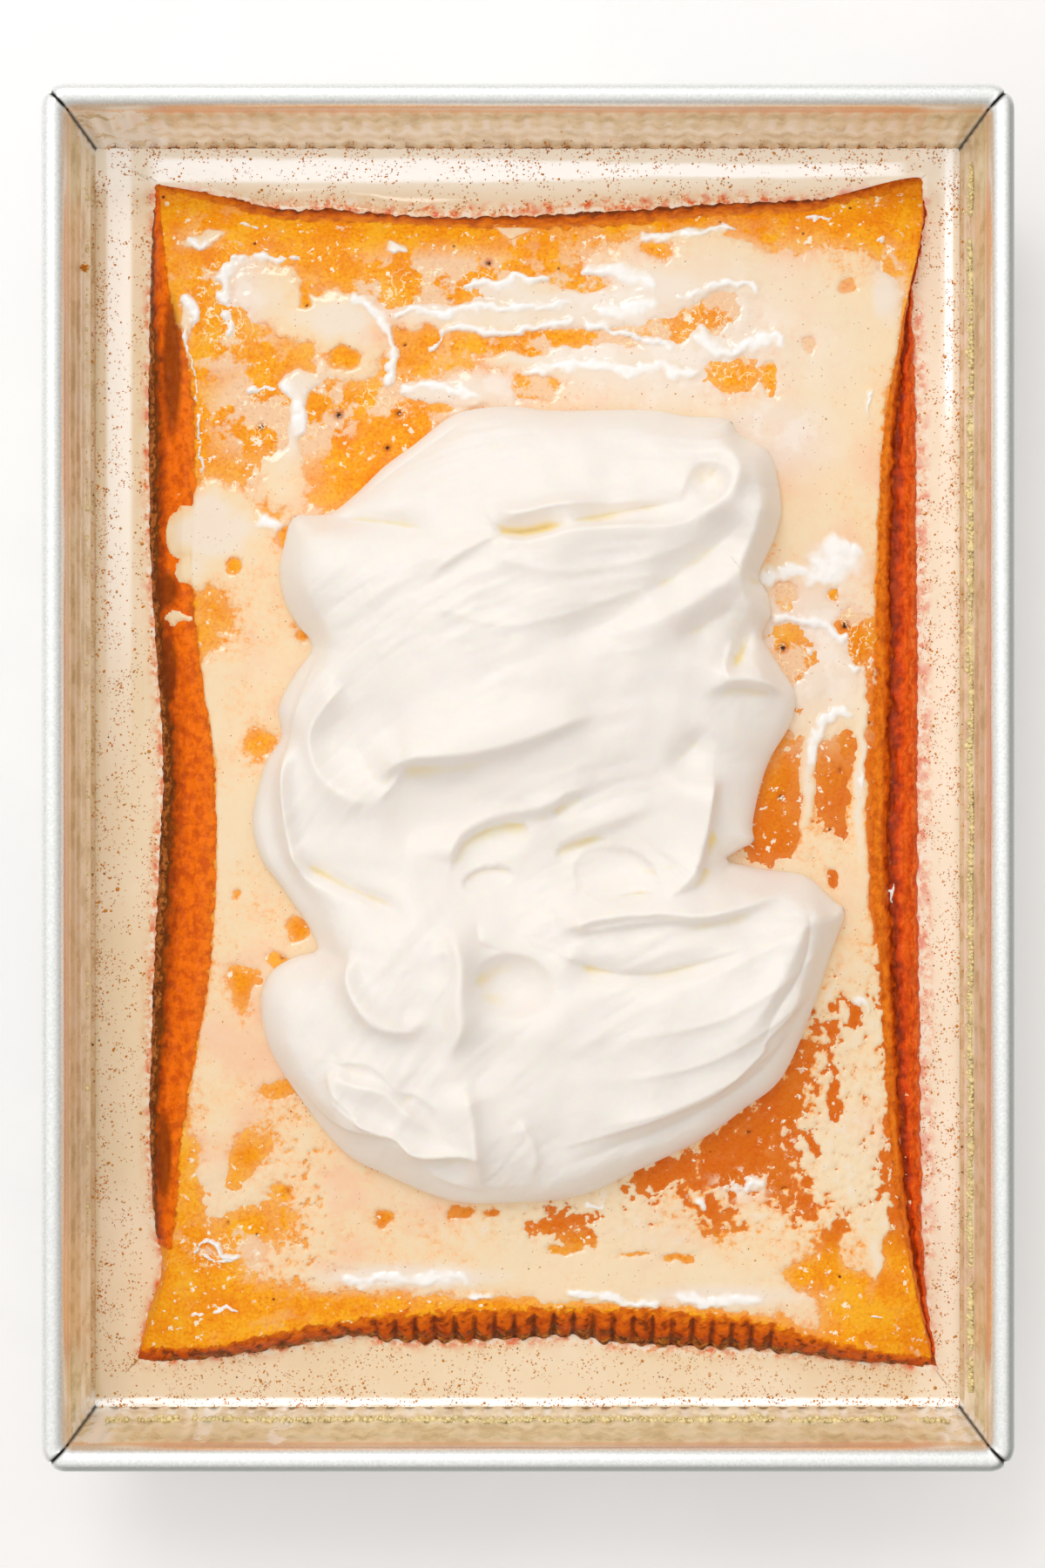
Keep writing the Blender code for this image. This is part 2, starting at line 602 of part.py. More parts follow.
def cream_relief(places):
    """The heap's swells, hollows, spoon marks and strokes, as a height at each place."""
    form = np.zeros(len(places))
    for middle, half, height in CREAM_SWELLS:
        form = form + height * np.exp(-0.5 * ellipse_reach(places, middle, half, 0.0))
    for middle, half, turn, depth in CREAM_HOLLOWS:
        reach = ellipse_reach(places, middle, half, turn)
        form = form - depth * ((1 + HOLLOW_LIP) * np.exp(-(reach**1.5)) - HOLLOW_LIP * np.exp(-reach / 2))
    for middle, half, turn, depth in CREAM_CUPS:
        reach = ellipse_reach(places, middle, half, turn)
        form = form - depth * np.sqrt(np.clip(1 - reach, 0.0, 1.0))
    for height, left, right, points in CREAM_STROKES:
        path = smooth_path(seen_from_above(points, CREAM_LEVEL), STEPS_PER_SPAN)
        away, side, along, length = offset_from_path(places, path)
        width = np.maximum(np.where(side > 0, left, right), CREAM_FINEST)
        to_end = np.minimum(along, length - along) + STROKE_OVERRUN
        fade = smooth_step(to_end / STROKE_FADE)
        form = form + STROKE_GAIN * height * fade * np.exp(-((away / width) ** STROKE_SHARPNESS))
    return form


def cream_thickness(places):
    """How thick the cream lies at each place: a dome that rounds over at its edge, and its relief."""
    outline = even_loop(seen_from_above(CREAM_OUTLINE, CREAM_FOOT_LEVEL), OUTLINE_STEPS)
    inside = offset_from_path(places, np.vstack((outline, outline[:1])))[0]
    steep = 1 - np.clip(inside / CREAM_EDGE_REACH, 0.0, 1.0)
    dome = CREAM_EDGE * np.sqrt(1 - steep**2) + CREAM_RISE * (1 - np.exp(-inside / CREAM_RISE_REACH))
    keep = smooth_step(inside / CREAM_KEEP_REACH)
    return np.maximum(dome + cream_relief(places) * keep, CREAM_LEAST_SHARE * dome)


def cream_sides():
    """The heap's outline as four runs between its corners."""
    outline = even_loop(seen_from_above(CREAM_OUTLINE, CREAM_FOOT_LEVEL), OUTLINE_STEPS)
    corners = seen_from_above(CREAM_CORNERS, CREAM_FOOT_LEVEL)
    away = np.linalg.norm(outline[None] - corners[:, None], axis=2)
    near_left, near_right, far_right, far_left = away.argmin(axis=1)

    def run(first, last):
        count = (last - first) % OUTLINE_STEPS
        return outline[(first + np.arange(count + 1)) % OUTLINE_STEPS]

    near = run(near_right, near_left)[::-1]
    right = run(far_right, near_right)[::-1]
    return near, right, run(far_left, far_right), run(near_left, far_left)


def add_cream(parts):
    """A grid drawn out to the heap's outline, raised by its thickness and tucked in under its edge."""
    bm = bmesh.new()
    bmesh.ops.create_grid(bm, x_segments=CREAM_CELLS[0], y_segments=CREAM_CELLS[1], size=1.0)
    square = np.array([vert.co[:2] for vert in bm.verts]) * 0.5 + 0.5
    u, v = towards_ends(square, CREAM_CROWDING).T
    places = drawn_square(cream_sides(), u, v)
    floor = CAKE_TOP + GAP
    for vert, place, thickness in zip(bm.verts, places, cream_thickness(places)):
        vert.co = (*place, floor + CREAM_TUCK + thickness)
    rim = [edge for edge in bm.edges if edge.is_boundary]
    inward = {}
    for edge in rim:
        middle = edge.link_faces[0].calc_center_median()
        for vert in edge.verts:
            place = (vert.co.x, vert.co.y)
            inward[place] = inward.get(place, Vector((0, 0))) + (middle - vert.co).to_2d()
    skirt = bmesh.ops.extrude_edge_only(bm, edges=rim)["geom"]
    for vert in [item for item in skirt if isinstance(item, bmesh.types.BMVert)]:
        step = inward[(vert.co.x, vert.co.y)].normalized() * CREAM_TUCK
        vert.co = (vert.co.x + step.x, vert.co.y + step.y, floor)
    bmesh.ops.contextual_create(bm, geom=[edge for edge in bm.edges if edge.is_boundary])
    bmesh.ops.recalc_face_normals(bm, faces=bm.faces)
    return new_object("whipped_cream", bm, parts)


def give_material(obj):
    colour, roughness, metallic = FINISHES[obj.name]
    material = bpy.data.materials.new(obj.name)
    material.use_nodes = True
    shader = material.node_tree.nodes["Principled BSDF"]
    shader.inputs["Base Color"].default_value = colour
    shader.inputs["Roughness"].default_value = roughness
    shader.inputs["Metallic"].default_value = metallic
    material.diffuse_color = colour
    obj.data.materials.clear()
    obj.data.materials.append(material)
    obj.data.shade_smooth()
    obj.data.set_sharp_from_angle(angle=math.radians(SMOOTH_ANGLE))


def main():
    clear_scene()
    parts = new_collection("sheet cake")
    cutters = new_collection("cutters")
    form = CakeForm()
    for obj in (
        add_pan(parts, cutters),
        add_milk(form, parts, cutters),
        add_cake(form, parts, cutters),
        add_cream(parts),
    ):
        give_material(obj)


main()
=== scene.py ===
"""The looks of a milk-soaked sheet cake in its pan, with a heap of whipped cream on it.

Shapes are worked out in millimetres from the same named places as the solids, and become metres
on the mesh. The far side is the one at the top of the picture.
"""

import math

import bpy
import numpy as np
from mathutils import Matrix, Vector


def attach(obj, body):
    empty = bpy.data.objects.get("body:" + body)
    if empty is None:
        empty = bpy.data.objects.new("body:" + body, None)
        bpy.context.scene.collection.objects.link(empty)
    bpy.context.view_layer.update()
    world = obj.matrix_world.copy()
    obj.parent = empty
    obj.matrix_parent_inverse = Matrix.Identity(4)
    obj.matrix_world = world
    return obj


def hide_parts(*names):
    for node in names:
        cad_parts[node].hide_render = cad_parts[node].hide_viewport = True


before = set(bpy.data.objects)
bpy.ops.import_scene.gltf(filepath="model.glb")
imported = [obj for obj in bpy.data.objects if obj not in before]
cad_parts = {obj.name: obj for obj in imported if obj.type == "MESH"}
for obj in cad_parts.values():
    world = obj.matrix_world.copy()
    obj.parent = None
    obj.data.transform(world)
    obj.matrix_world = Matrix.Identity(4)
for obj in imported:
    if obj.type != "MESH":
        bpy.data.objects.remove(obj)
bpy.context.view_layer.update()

MM = 0.001

# Pan
PAN_WIDTH = 249.0
PAN_LENGTH = 355.0
PAN_HEIGHT = 57.0
SHEET = 0.9
BEAD_RADIUS = 3.1
BEAD_TURN = (180, -125)
WALL_DRAFT = 2.6
WALL_INSET = 6.1
WALL_TOP = 50.6
FOLD_RADIUS = 3.0
PAN_CORNER = 0.4
PAN_CORNER_GROWTH = 1.02
PAN_LIP = -8.0
FLOOR_INSET = 7.0
FLOOR_UNDERSIDE = 0.25
FLOOR_SETBACK = 0.05
FLOOR_RIB = 0.2
FLUTE_PITCH = 5.3
FLUTE_HEIGHT = 0.32
FLUTE_END = 5.0
FLUTED_LEVELS = (3.0, 51.0)
SEAM_DEPTH = 0.9
SEAM_REACH = 0.7
CORNER_STEPS = (0.3, 0.6, 0.9, 1.3, 1.8, 2.5, 3.5)

# Levels inside the pan, above the base
MILK_LEVEL = 22.0
CAKE_TOP = 31.0
CAKE_TIP_DROP = 5.0
CAKE_TIP_REACH = 20.0
CAKE_FAR_DROP = 5.0
CAKE_FAR_REACH = 8.0
CAKE_SINK = 0.3
CAKE_LEAST_RISE = 1.5
CAKE_SKIRT = 4.0
CAKE_BOTTOM = 1.2
DENT = 0.45
DENT_PITCH = (13.0, 17.0)
DENT_START = 3.0
DENT_FADE = 12.0

# Relief of the cake's sides and top
NEAR_FLUTES = (-46.0, 72.0)
FAR_FLUTES = (-68.0, 66.0)
CAKE_FLUTE_FADE = 8.0
CAKE_FLUTE_DEPTH = 1.7
FAR_FLUTE_DEPTH = 0.5
RAGGED_EDGE = 1.0
RAGGED_SIZE = 5.0
RAGGED_LEFT = 0.4
RAGGED_RIGHT = 0.6
RAGGED_NEAR = 0.7
SIDE_CRUMB = 0.35
TOP_CRUMB = 0.16
CRUMB_SIZE = 1.6
SIDE_SWELL = 0.25
PIT_DEPTH = 0.7
WEAR_SIZE = 3.0
SIDE_WEAR = {"left": 0.07, "right": 0.09, "far": 0.16, "near": 0.2}

# Cream
CREAM_EDGE = 9.0
CREAM_EDGE_REACH = 14.0
CREAM_EDGE_WAVE = 23.0
CREAM_RISE = 8.5
CREAM_RISE_REACH = 18.0
CREAM_LEVEL = 46.0
CREAM_FOOT_LEVEL = 35.0
CREAM_TUCK = 1.6
# How far in each ring below the cream's edge lies, and how far above the cake's top
CREAM_FOOT_RINGS = [(0.25, 1.0), (0.9, 0.4), (1.8, -0.4)]
STROKE_FADE = 8.0
HOLLOW_LIP = 0.35
CREAM_GRAIN = 0.08
CREAM_GRAIN_SIZE = 2.2
SOFT_LUMP = 0.9
SOFT_LUMP_SIZE = 16.0
CREAM_STREAK = 0.6
CREAM_STREAK_ANGLE = 26.0
CREAM_STREAK_SIZE = 6.5
CREAM_CALM_SIZE = 31.0
PLAIN_EDGE = 7.0
FOLD_FADE = 4.0
FOLD_GAIN = 1.45
STROKE_GAIN = 1.25
STROKE_TAPER = 0.4
CREAM_CEILING = 26.2
CREAM_CEILING_EASE = 2.0
# Painted shade, warm and yellow, in the cream's creases: how much deeper than round about a place must lie
# for it to start, and over what depth it grows full
CREASE_START = 0.4
CREASE_DEPTH = 1.3

# Milk in the pan
MENISCUS = 1.6
MENISCUS_REACH = 3.2
CAKE_MENISCUS = 0.9
CAKE_MENISCUS_REACH = 3.2
POOL_WAVE = 0.03
POOL_WAVE_SIZE = 14.0
POOL_UNDER_CAKE = 1.5
POOL_FOOT_INSET = 3.5
POOL_FOOT_LEVEL = 1.5
# Painted highlights on it, as streaks of light: how far from the wall, half width, how flat-topped, how
# pale
LEFT_STREAK = (6.4, 3.4, 10, 0.6)
RIGHT_STREAK = (3.6, 1.6, 6, 0.2)
FAR_RIGHT_STREAK = (2.9, 1.0, 6, 1.0)
FAR_STREAK = (5.6, 3.2, 10, 1.0)
NEAR_STREAK = (1.3, 1.0, 4, 1.0)
# How much thinner the far streak is on the right, and how far out it ends
FAR_STREAK_THINNER = 1.3
FAR_STREAK_END = 104.0
# How far from the right and far walls the milk is painted paler and brighter, as painted light
PALE_RIM = 14.0
FAR_REFLECTION = 20.0
# How wide the painted reflection of the cake's right side in the milk is, and how far towards both ends it
# reaches
SIDE_REFLECTION = 3.2
SIDE_REFLECTION_END = 130.0

# Milk on the cake: its cover is over 0 where it lies, and falls by these depths where it is bare
FILM_DEPTH = 0.6
FILM_SHARPNESS = 0.5
FILM_LACE = 0.5
FILM_LACE_SIZE = 8.0
FILM_FOOT = 0.35
FILM_UNDER_CREAM = 4.0
FILM_EDGES = {"far": 4.5, "near": 3.0, "left": 0.8, "right": 1.2}
FILM_EDGE_DEPTH = 2.5
FILM_TIP_DEPTH = 2.4
FILM_TIP_REACH = 23.0
FILM_BAREST = -1.15
PATCH_DEPTH = 1.9
PATCH_MOST = 1.25
PATCH_BEND = 1.3
PATCH_BEND_SIZE = 7.0
ISLAND_COVER = 2.6
HOLE_COVER = -3.2
TONGUE_COVER = 2.5
ROLL_COVER = 1.6
LACE_START = -35.0
LACE_FADE = 25.0
FILM_RIPPLE = 0.16
RIPPLE_SIZE = 4.5
ROLL_HEIGHT = 0.55
ROLL_WIDTH = 1.25
ROLL_BEND = 1.1
ROLL_BEND_SIZE = 4.0
ROLL_TAPER = 3.0
# Thin spots on the left, in a wedge about this line
SPOTS_MIDDLE = -60.0
SPOTS_SIZE = 3.6
# The near right of the top, where less milk has stayed: which way it lies, its start and its end
NEAR_RIGHT_WAY = (0.8, -0.6)
NEAR_RIGHT_START = 20.0
NEAR_RIGHT_FADE = 60.0
NEAR_RIGHT_END = -132.0
# How fast an area's effect falls off round its middle
AREA_FALL = 0.7

# Cinnamon: how many flecks on the pool, on the walls and on the film, and their size
CINNAMON = {"cinnamon_pale": (9000, 1500, 900, 0.18), "cinnamon_dark": (1100, 1100, 700, 0.14)}
CINNAMON_COLOURS = ((236, 150, 20), (150, 84, 20))
CINNAMON_CROWDING = 3.5
CINNAMON_CLIMB = 1.6
FILM_FLECK_SHARE = 0.65
ORANGE_CRUMB_GRAINS = 120

# Crumbs on the pan's walls: the share of each wall, how far below their line, and their size
CRUMB_LINE = 36.0
CRUMB_WALLS = {"right": (0.56, 0.0), "near": (0.42, 1.5), "left": (0.02, 2.0)}
CRUMB_COUNT = 9000
WALL_CRUMB_SIZE = 0.42

# Mesh density, across and along
CAKE_CELLS = (330, 460)
FILM_CELLS = (480, 720)
CREAM_CELLS = (270, 370)
POOL_CELLS = (260, 380)
POOL_RINGS = 46
WALL_STEPS = (262, 90)
CROWDING = 0.6
OUTLINE_STEPS = 720

# Outlines are points seen from straight above, in a picture of 1200 by 1800 points, and
# seen_from_above turns them into places by the height of what they lie on.
PICTURE_MIDDLE = (600.0, 900.0)
PICTURE_HEIGHT = 1800.0
VIEW_MIDDLE = (-1.34, -1.67)
POINTS_PER_MM_AT_RIM = 4.51
VIEW_DISTANCE_TO_RIM = 557.0
SENSOR = 36.0

# Light and floor
BRIGHT_WAY = (-0.3, 0.33, 0.9)
ROOM_LIGHT = (0.47, 1.1)
WINDOW_PLACE = (-0.35, 0.75, 1.2)
WINDOW_SIZE = (0.5, 0.4)
WINDOW_POWER = 3.6
FLOOR_HALF = 4000.0
FLOOR_LEVEL = -0.05

# The way that the bead's painted shade faces, and how much of that shade its inner side gets
SHADED_WAY = (0.7, -0.72)
INNER_SHADE = 0.2

# How much the bands of colour on the walls waver, and over what length
BAND_WAVE = 0.07
BAND_WAVE_SIZE = 16.0

# Painted highlights on the flutes' crests: where they start and end on the near and the far wall
FLUTE_HIGHLIGHT_BANDS = ((0.04, 0.45), (0.32, 0.8))

# Where the cake's sides meet the milk
CAKE_FOOT_LEFT = [
    (157, 1558), (172, 1500), (186, 1453), (176, 1400), (170, 1300), (172, 1150), (178, 1000),
    (184, 880), (176, 740), (170, 640), (168, 500), (171, 340), (175, 260), (174, 205),
]
CAKE_FOOT_RIGHT = [
    (1077, 1570), (1066, 1500), (1060, 1400), (1058, 1200), (1056, 1000), (1056, 800),
    (1054, 600), (1052, 440), (1047, 350), (1056, 290), (1064, 240), (1064, 202),
]
CAKE_FOOT_FAR = [
    (174, 205), (245, 218), (318, 238), (383, 237), (471, 246), (555, 246), (638, 243),
    (715, 238), (830, 231), (929, 227), (983, 213), (1021, 203), (1052, 198), (1064, 202),
]
CAKE_FOOT_NEAR = [
    (157, 1558), (180, 1564), (245, 1559), (325, 1548), (402, 1535), (459, 1543), (600, 1541),
    (657, 1537), (715, 1547), (868, 1553), (944, 1558), (1002, 1566), (1077, 1570),
]

# Where the cake's top breaks into its sides
CAKE_RIM_LEFT = [
    (160, 1556), (180, 1500), (194, 1448), (203, 1390), (207, 1330), (214, 1270), (230, 1190),
        (243, 1100),
    (250, 980), (246, 860), (230, 760), (222, 660), (226, 545), (219, 430), (196, 340), (181, 240),
    (177, 207),
]
CAKE_RIM_RIGHT = [
    (1074, 1566), (1052, 1480), (1035, 1400), (1022, 1300), (1014, 1180), (1006, 1060),
    (1002, 980), (1004, 860), (1006, 700), (1010, 560), (1018, 470), (1031, 400), (1043, 340),
    (1055, 290), (1063, 245), (1064, 206),
]
CAKE_RIM_FAR = [
    (175, 209), (245, 226), (320, 247), (428, 251), (555, 258), (683, 257), (830, 244),
    (929, 238), (1021, 214), (1066, 203),
]
CAKE_RIM_NEAR = [
    (158, 1555), (245, 1546), (330, 1528), (415, 1514), (500, 1507), (600, 1503), (700, 1503),
    (791, 1508), (870, 1517), (930, 1535), (1000, 1552), (1076, 1565),
]

# How far towards the near side, in millimetres, the left side's crust reaches
LEFT_SIDE_END = -122.0

# How the sides climb: the share of the way from foot to rim, and the share of the height there
PLAIN_SIDE = [(0.0, 0.0), (0.12, 0.28), (0.4, 0.6), (0.75, 0.88), (1.0, 1.0)]
CREASED_SIDE = [(0.0, 0.0), (0.12, 0.34), (0.4, 0.52), (0.62, 0.4), (0.8, 0.8), (1.0, 1.0)]

# The heap's foot: its near left, near right, far right and far left corners, and its outline
CREAM_CORNERS = [(350, 1269), (880, 1256), (885, 520), (333, 600)]
CREAM_OUTLINE = [
    (335, 594), (360, 590), (381, 587), (410, 564), (441, 534), (475, 509), (523, 474), (583, 465),
    (640, 470), (742, 469), (786, 476), (835, 480), (850, 499), (885, 520), (898, 578), (892, 612),
    (880, 640), (871, 662), (883, 681), (886, 706), (876, 730), (894, 761), (914, 796), (908, 832),
    (885, 872), (872, 912), (865, 948), (866, 966), (846, 978), (836, 989), (880, 998), (926, 1006),
    (958, 1034), (971, 1048), (957, 1090), (930, 1170), (898, 1239), (854, 1275), (808, 1308),
    (735, 1344), (666, 1374), (594, 1382), (519, 1380), (441, 1349), (395, 1324), (349, 1269),
    (310, 1207), (298, 1150), (311, 1116), (338, 1099), (364, 1090), (352, 1062), (322, 1018),
    (298, 984), (289, 938), (304, 876), (322, 846), (319, 812), (337, 775), (358, 742), (340, 716),
    (326, 690), (320, 658), (324, 630),
]

# Broad rises and dips of the heap: middle, reach to either side and along, and height
CREAM_SWELLS = [
    ((650, 690), (190, 150), 5.0),
    ((560, 800), (110, 80), 2.0),
    ((470, 520), (110, 60), -2.5),
    ((385, 655), (52, 60), 3.0),
    ((870, 560), (45, 70), 3.0),
    ((620, 990), (140, 62), -5.5),
    ((455, 1085), (62, 55), 5.0),
    ((790, 1130), (150, 90), 4.5),
    ((430, 1200), (80, 70), 3.5),
    ((640, 1270), (130, 70), 2.0),
    ((330, 960), (40, 110), -4.0),
    ((900, 800), (50, 60), -2.0),
]

# Hollows that the spoon left: middle, half lengths, turn in degrees and depth
CREAM_HOLLOWS = [
    ((420, 845), (62, 70), 10, 4.0),
    ((500, 925), (70, 42), 20, 3.5),
    ((588, 1132), (52, 34), -5, 2.5),
    ((814, 553), (20, 26), 25, 3.5),
]

# Spoon marks with a crisp edge: middle, half lengths, turn in degrees, depth, how much deeper the
# far side is than the near one, and how rounded the bottom is
CREAM_CUPS = [
    ((563, 972), (50, 22), 26, 3.4, 0.95, 0.3),
    ((560, 1009), (30, 14), 14, 2.8, 0.95, 0.3),
    ((668, 974), (32, 13), 16, 2.6, 0.95, 0.3),
    ((708, 1006), (50, 34), -14, 3.0, 0.7, 0.45),
    ((589, 1130), (48, 37), -6, 5.0, 0.25, 0.8),
    ((652, 925), (20, 12), 40, 2.2, 0.9, 0.3),
]

# Ridges, and grooves where the height is below nothing: height, how far each falls away to the
# left and right of its path, and the path
CREAM_STROKES = [
    (-2.0, 2.5, 5.0, [(370, 586), (425, 597), (478, 603), (508, 622)]),
    (3.0, 2.0, 6.0, [(560, 590), (600, 592), (641, 584), (700, 580)]),
    (-3.5, 3.0, 2.5, [(556, 602), (600, 612), (657, 604)]),
    (-1.6, 3.0, 2.5, [(657, 604), (715, 592), (784, 577)]),
    (2.5, 1.8, 8.0, [(600, 627), (646, 617), (692, 611), (772, 607), (840, 580)]),
    (3.0, 4.0, 3.5, [(780, 582), (806, 590), (836, 566), (846, 536), (828, 516), (800, 526)]),
    (-4.0, 7.0, 4.0, [(856, 596), (800, 645), (715, 700)]),
    (3.5, 6.0, 7.0, [(880, 560), (862, 640), (800, 690), (747, 716), (680, 742)]),
    (-2.5, 6.0, 5.0, [(747, 690), (680, 722), (600, 747)]),
    (-3.0, 5.0, 4.0, [(856, 690), (812, 716), (772, 740)]),
    (-4.5, 2.5, 5.0, [(876, 704), (858, 740), (832, 780)]),
    (3.0, 1.6, 6.0, [(912, 796), (880, 785), (843, 780), (800, 800)]),
    (-3.0, 5.0, 4.0, [(816, 834), (790, 862), (761, 887)]),
    (4.0, 1.5, 7.0, [(822, 890), (814, 925), (808, 960), (794, 1004), (756, 1030)]),
    (2.0, 6.0, 2.0, [(600, 936), (634, 920), (685, 898)]),
    (2.0, 6.0, 1.8, [(640, 966), (690, 948), (749, 924)]),
    (3.0, 4.0, 4.0, [(397, 786), (360, 832), (358, 866), (376, 898), (418, 920), (452, 905)]),
    (5.0, 8.0, 2.0, [(430, 892), (471, 871), (515, 868), (567, 857), (620, 842), (690, 818)]),
    (4.0, 2.5, 3.5, [(328, 841), (322, 897), (330, 960), (345, 1003), (383, 1025), (440, 1046)]),
    (-3.5, 2.0, 3.0, [(340, 990), (395, 1018), (452, 1042), (470, 1060)]),
    (3.5, 3.0, 3.0, [(404, 1096), (402, 1126), (424, 1160), (464, 1180), (498, 1160)]),
    (5.0, 4.0, 2.0, [(520, 1060), (530, 1101), (528, 1147), (530, 1180), (508, 1215)]),
    (4.0, 5.0, 1.8, [(640, 1066), (690, 1052), (758, 1046), (811, 1048), (895, 1027), (930, 1008)]),
    (-3.5, 3.0, 4.0, [(652, 1098), (689, 1112), (749, 1116), (800, 1104), (856, 1088)]),
    (2.5, 4.0, 5.0, [(968, 1046), (930, 1056), (898, 1112), (860, 1172), (800, 1210)]),
    (-1.8, 3.0, 2.2, [(938, 1130), (925, 1161), (873, 1232), (792, 1285), (707, 1317), (620, 1349)]),
    (3.0, 1.8, 5.0, [(379, 1218), (400, 1240), (441, 1250), (475, 1280), (510, 1305)]),
    (2.5, 1.8, 4.0, [(372, 1243), (392, 1272), (430, 1296), (471, 1320), (544, 1322)]),
    (3.0, 2.0, 5.0, [(533, 1236), (539, 1278), (546, 1326), (548, 1366)]),
    (-2.5, 2.5, 2.5, [(326, 1128), (345, 1106), (372, 1098), (410, 1104)]),
]

# Crisp folds: height, how far each falls away to the left and right of its path, and the path
CREAM_FOLDS = [
    (-1.3, 3.0, 1.5, [(384, 589), (429, 596), (484, 608), (500, 620)]),
    (1.4, 1.0, 4.0, [(574, 614), (552, 626), (525, 642), (484, 671)]),
    (1.3, 0.8, 1.2, [(552, 592), (560, 600), (570, 610), (576, 618)]),
    (1.6, 0.8, 5.0, [(573, 621), (606, 626), (651, 614), (688, 609), (769, 603), (801, 594)]),
    (1.2, 3.0, 1.0, [(574, 602), (642, 584), (710, 580), (778, 574)]),
    (-1.2, 1.2, 1.0, [(566, 614), (600, 612), (624, 608), (652, 603)]),
    (-0.9, 1.2, 1.0, [(652, 603), (679, 597), (733, 585), (790, 577)]),
    (1.0, 3.0, 1.0, [(778, 576), (789, 549), (805, 533), (830, 537), (835, 558), (819, 580),
        (794, 586)]),
    (2.2, 5.0, 0.9, [(464, 876), (506, 870), (538, 867), (590, 852), (640, 836), (690, 818)]),
    (1.2, 1.5, 1.5, [(436, 918), (455, 896), (470, 872)]),
    (0.9, 1.2, 3.0, [(397, 786), (361, 829), (357, 861), (371, 893), (392, 912)]),
    (1.5, 5.0, 0.9, [(842, 734), (832, 760), (831, 775), (842, 784), (873, 786), (909, 798)]),
    (2.0, 0.8, 5.0, [(819, 893), (815, 929), (811, 968), (800, 1004), (778, 1022), (757, 1032)]),
    (1.8, 4.0, 0.8, [(519, 990), (522, 972), (534, 954), (570, 938), (624, 927), (668, 915)]),
    (-1.2, 0.8, 0.8, [(662, 1028), (666, 1020), (672, 1014)]),
    (-1.2, 0.8, 0.8, [(704, 1031), (727, 1026), (750, 1024)]),
    (1.6, 6.0, 0.9, [(403, 1090), (400, 1126), (416, 1158), (438, 1176), (484, 1182)]),
    (1.0, 1.0, 2.5, [(507, 1080), (516, 1099), (512, 1126), (497, 1150)]),
    (2.0, 0.8, 4.0, [(520, 1074), (531, 1104), (531, 1145), (528, 1190), (509, 1219)]),
    (1.5, 3.0, 1.0, [(660, 1056), (674, 1067), (710, 1061), (778, 1054), (823, 1049), (869, 1036),
        (914, 1013)]),
    (-0.9, 1.0, 1.0, [(547, 1056), (551, 1080), (575, 1091)]),
    (1.3, 5.0, 0.9, [(642, 1093), (688, 1108), (733, 1113), (769, 1108), (823, 1095), (872, 1076)]),
    (-1.3, 1.5, 1.5, [(929, 1046), (922, 1106), (884, 1168), (872, 1204)]),
    (1.6, 0.8, 6.0, [(936, 1140), (880, 1190), (873, 1207), (823, 1253), (760, 1280), (688, 1303),
        (622, 1322)]),
    (1.2, 5.0, 0.8, [(384, 1217), (429, 1221), (461, 1249), (479, 1253), (502, 1271), (515, 1303),
        (542, 1310)]),
    (1.5, 4.0, 0.8, [(377, 1226), (384, 1253), (407, 1276), (416, 1289), (452, 1301), (470, 1317),
        (480, 1326), (540, 1326)]),
    (1.2, 5.0, 0.8, [(538, 1250), (545, 1285), (545, 1317), (552, 1368)]),
    (1.2, 1.0, 4.0, [(597, 1282), (612, 1310), (615, 1335), (607, 1360)]),
    (1.0, 4.0, 0.8, [(497, 1339), (502, 1353), (538, 1366), (554, 1372)]),
    (-0.9, 1.0, 1.0, [(528, 482), (470, 522), (430, 553), (388, 585)]),
    (1.0, 3.0, 0.9, [(780, 476), (815, 478), (846, 488), (847, 499), (822, 505), (792, 509)]),
    (1.8, 4.0, 0.9, [(362, 742), (357, 766), (339, 811), (330, 848), (323, 893), (327, 950),
        (334, 985)]),
    (1.3, 3.0, 0.9, [(329, 972), (342, 995), (372, 1013), (400, 1026), (436, 1047)]),
    (1.0, 3.0, 5.0, [(936, 1056), (868, 1093), (794, 1124), (696, 1136)]),
    (1.1, 2.5, 6.0, [(943, 1093), (881, 1136), (807, 1173), (696, 1192)]),
    (1.1, 2.0, 6.0, [(930, 1142), (868, 1185), (794, 1222), (683, 1241)]),
    (1.0, 2.0, 5.0, [(918, 1179), (856, 1229), (770, 1272), (659, 1296)]),
    (2.0, 5.0, 0.8, [(326, 1235), (372, 1281), (409, 1296), (449, 1302), (483, 1324), (545, 1327),
        (554, 1364), (606, 1361)]),
    (0.9, 4.0, 2.0, [(560, 640), (640, 660), (740, 645), (850, 600)]),
    (0.8, 4.0, 2.0, [(500, 700), (590, 720), (700, 690), (820, 640)]),
    (-0.8, 0.9, 0.9, [(498, 708), (506, 711)]),
    (-0.7, 0.9, 0.9, [(494, 731), (500, 733)]),
    (1.5, 1.3, 1.3, [(566, 1120), (570, 1122)]),
]

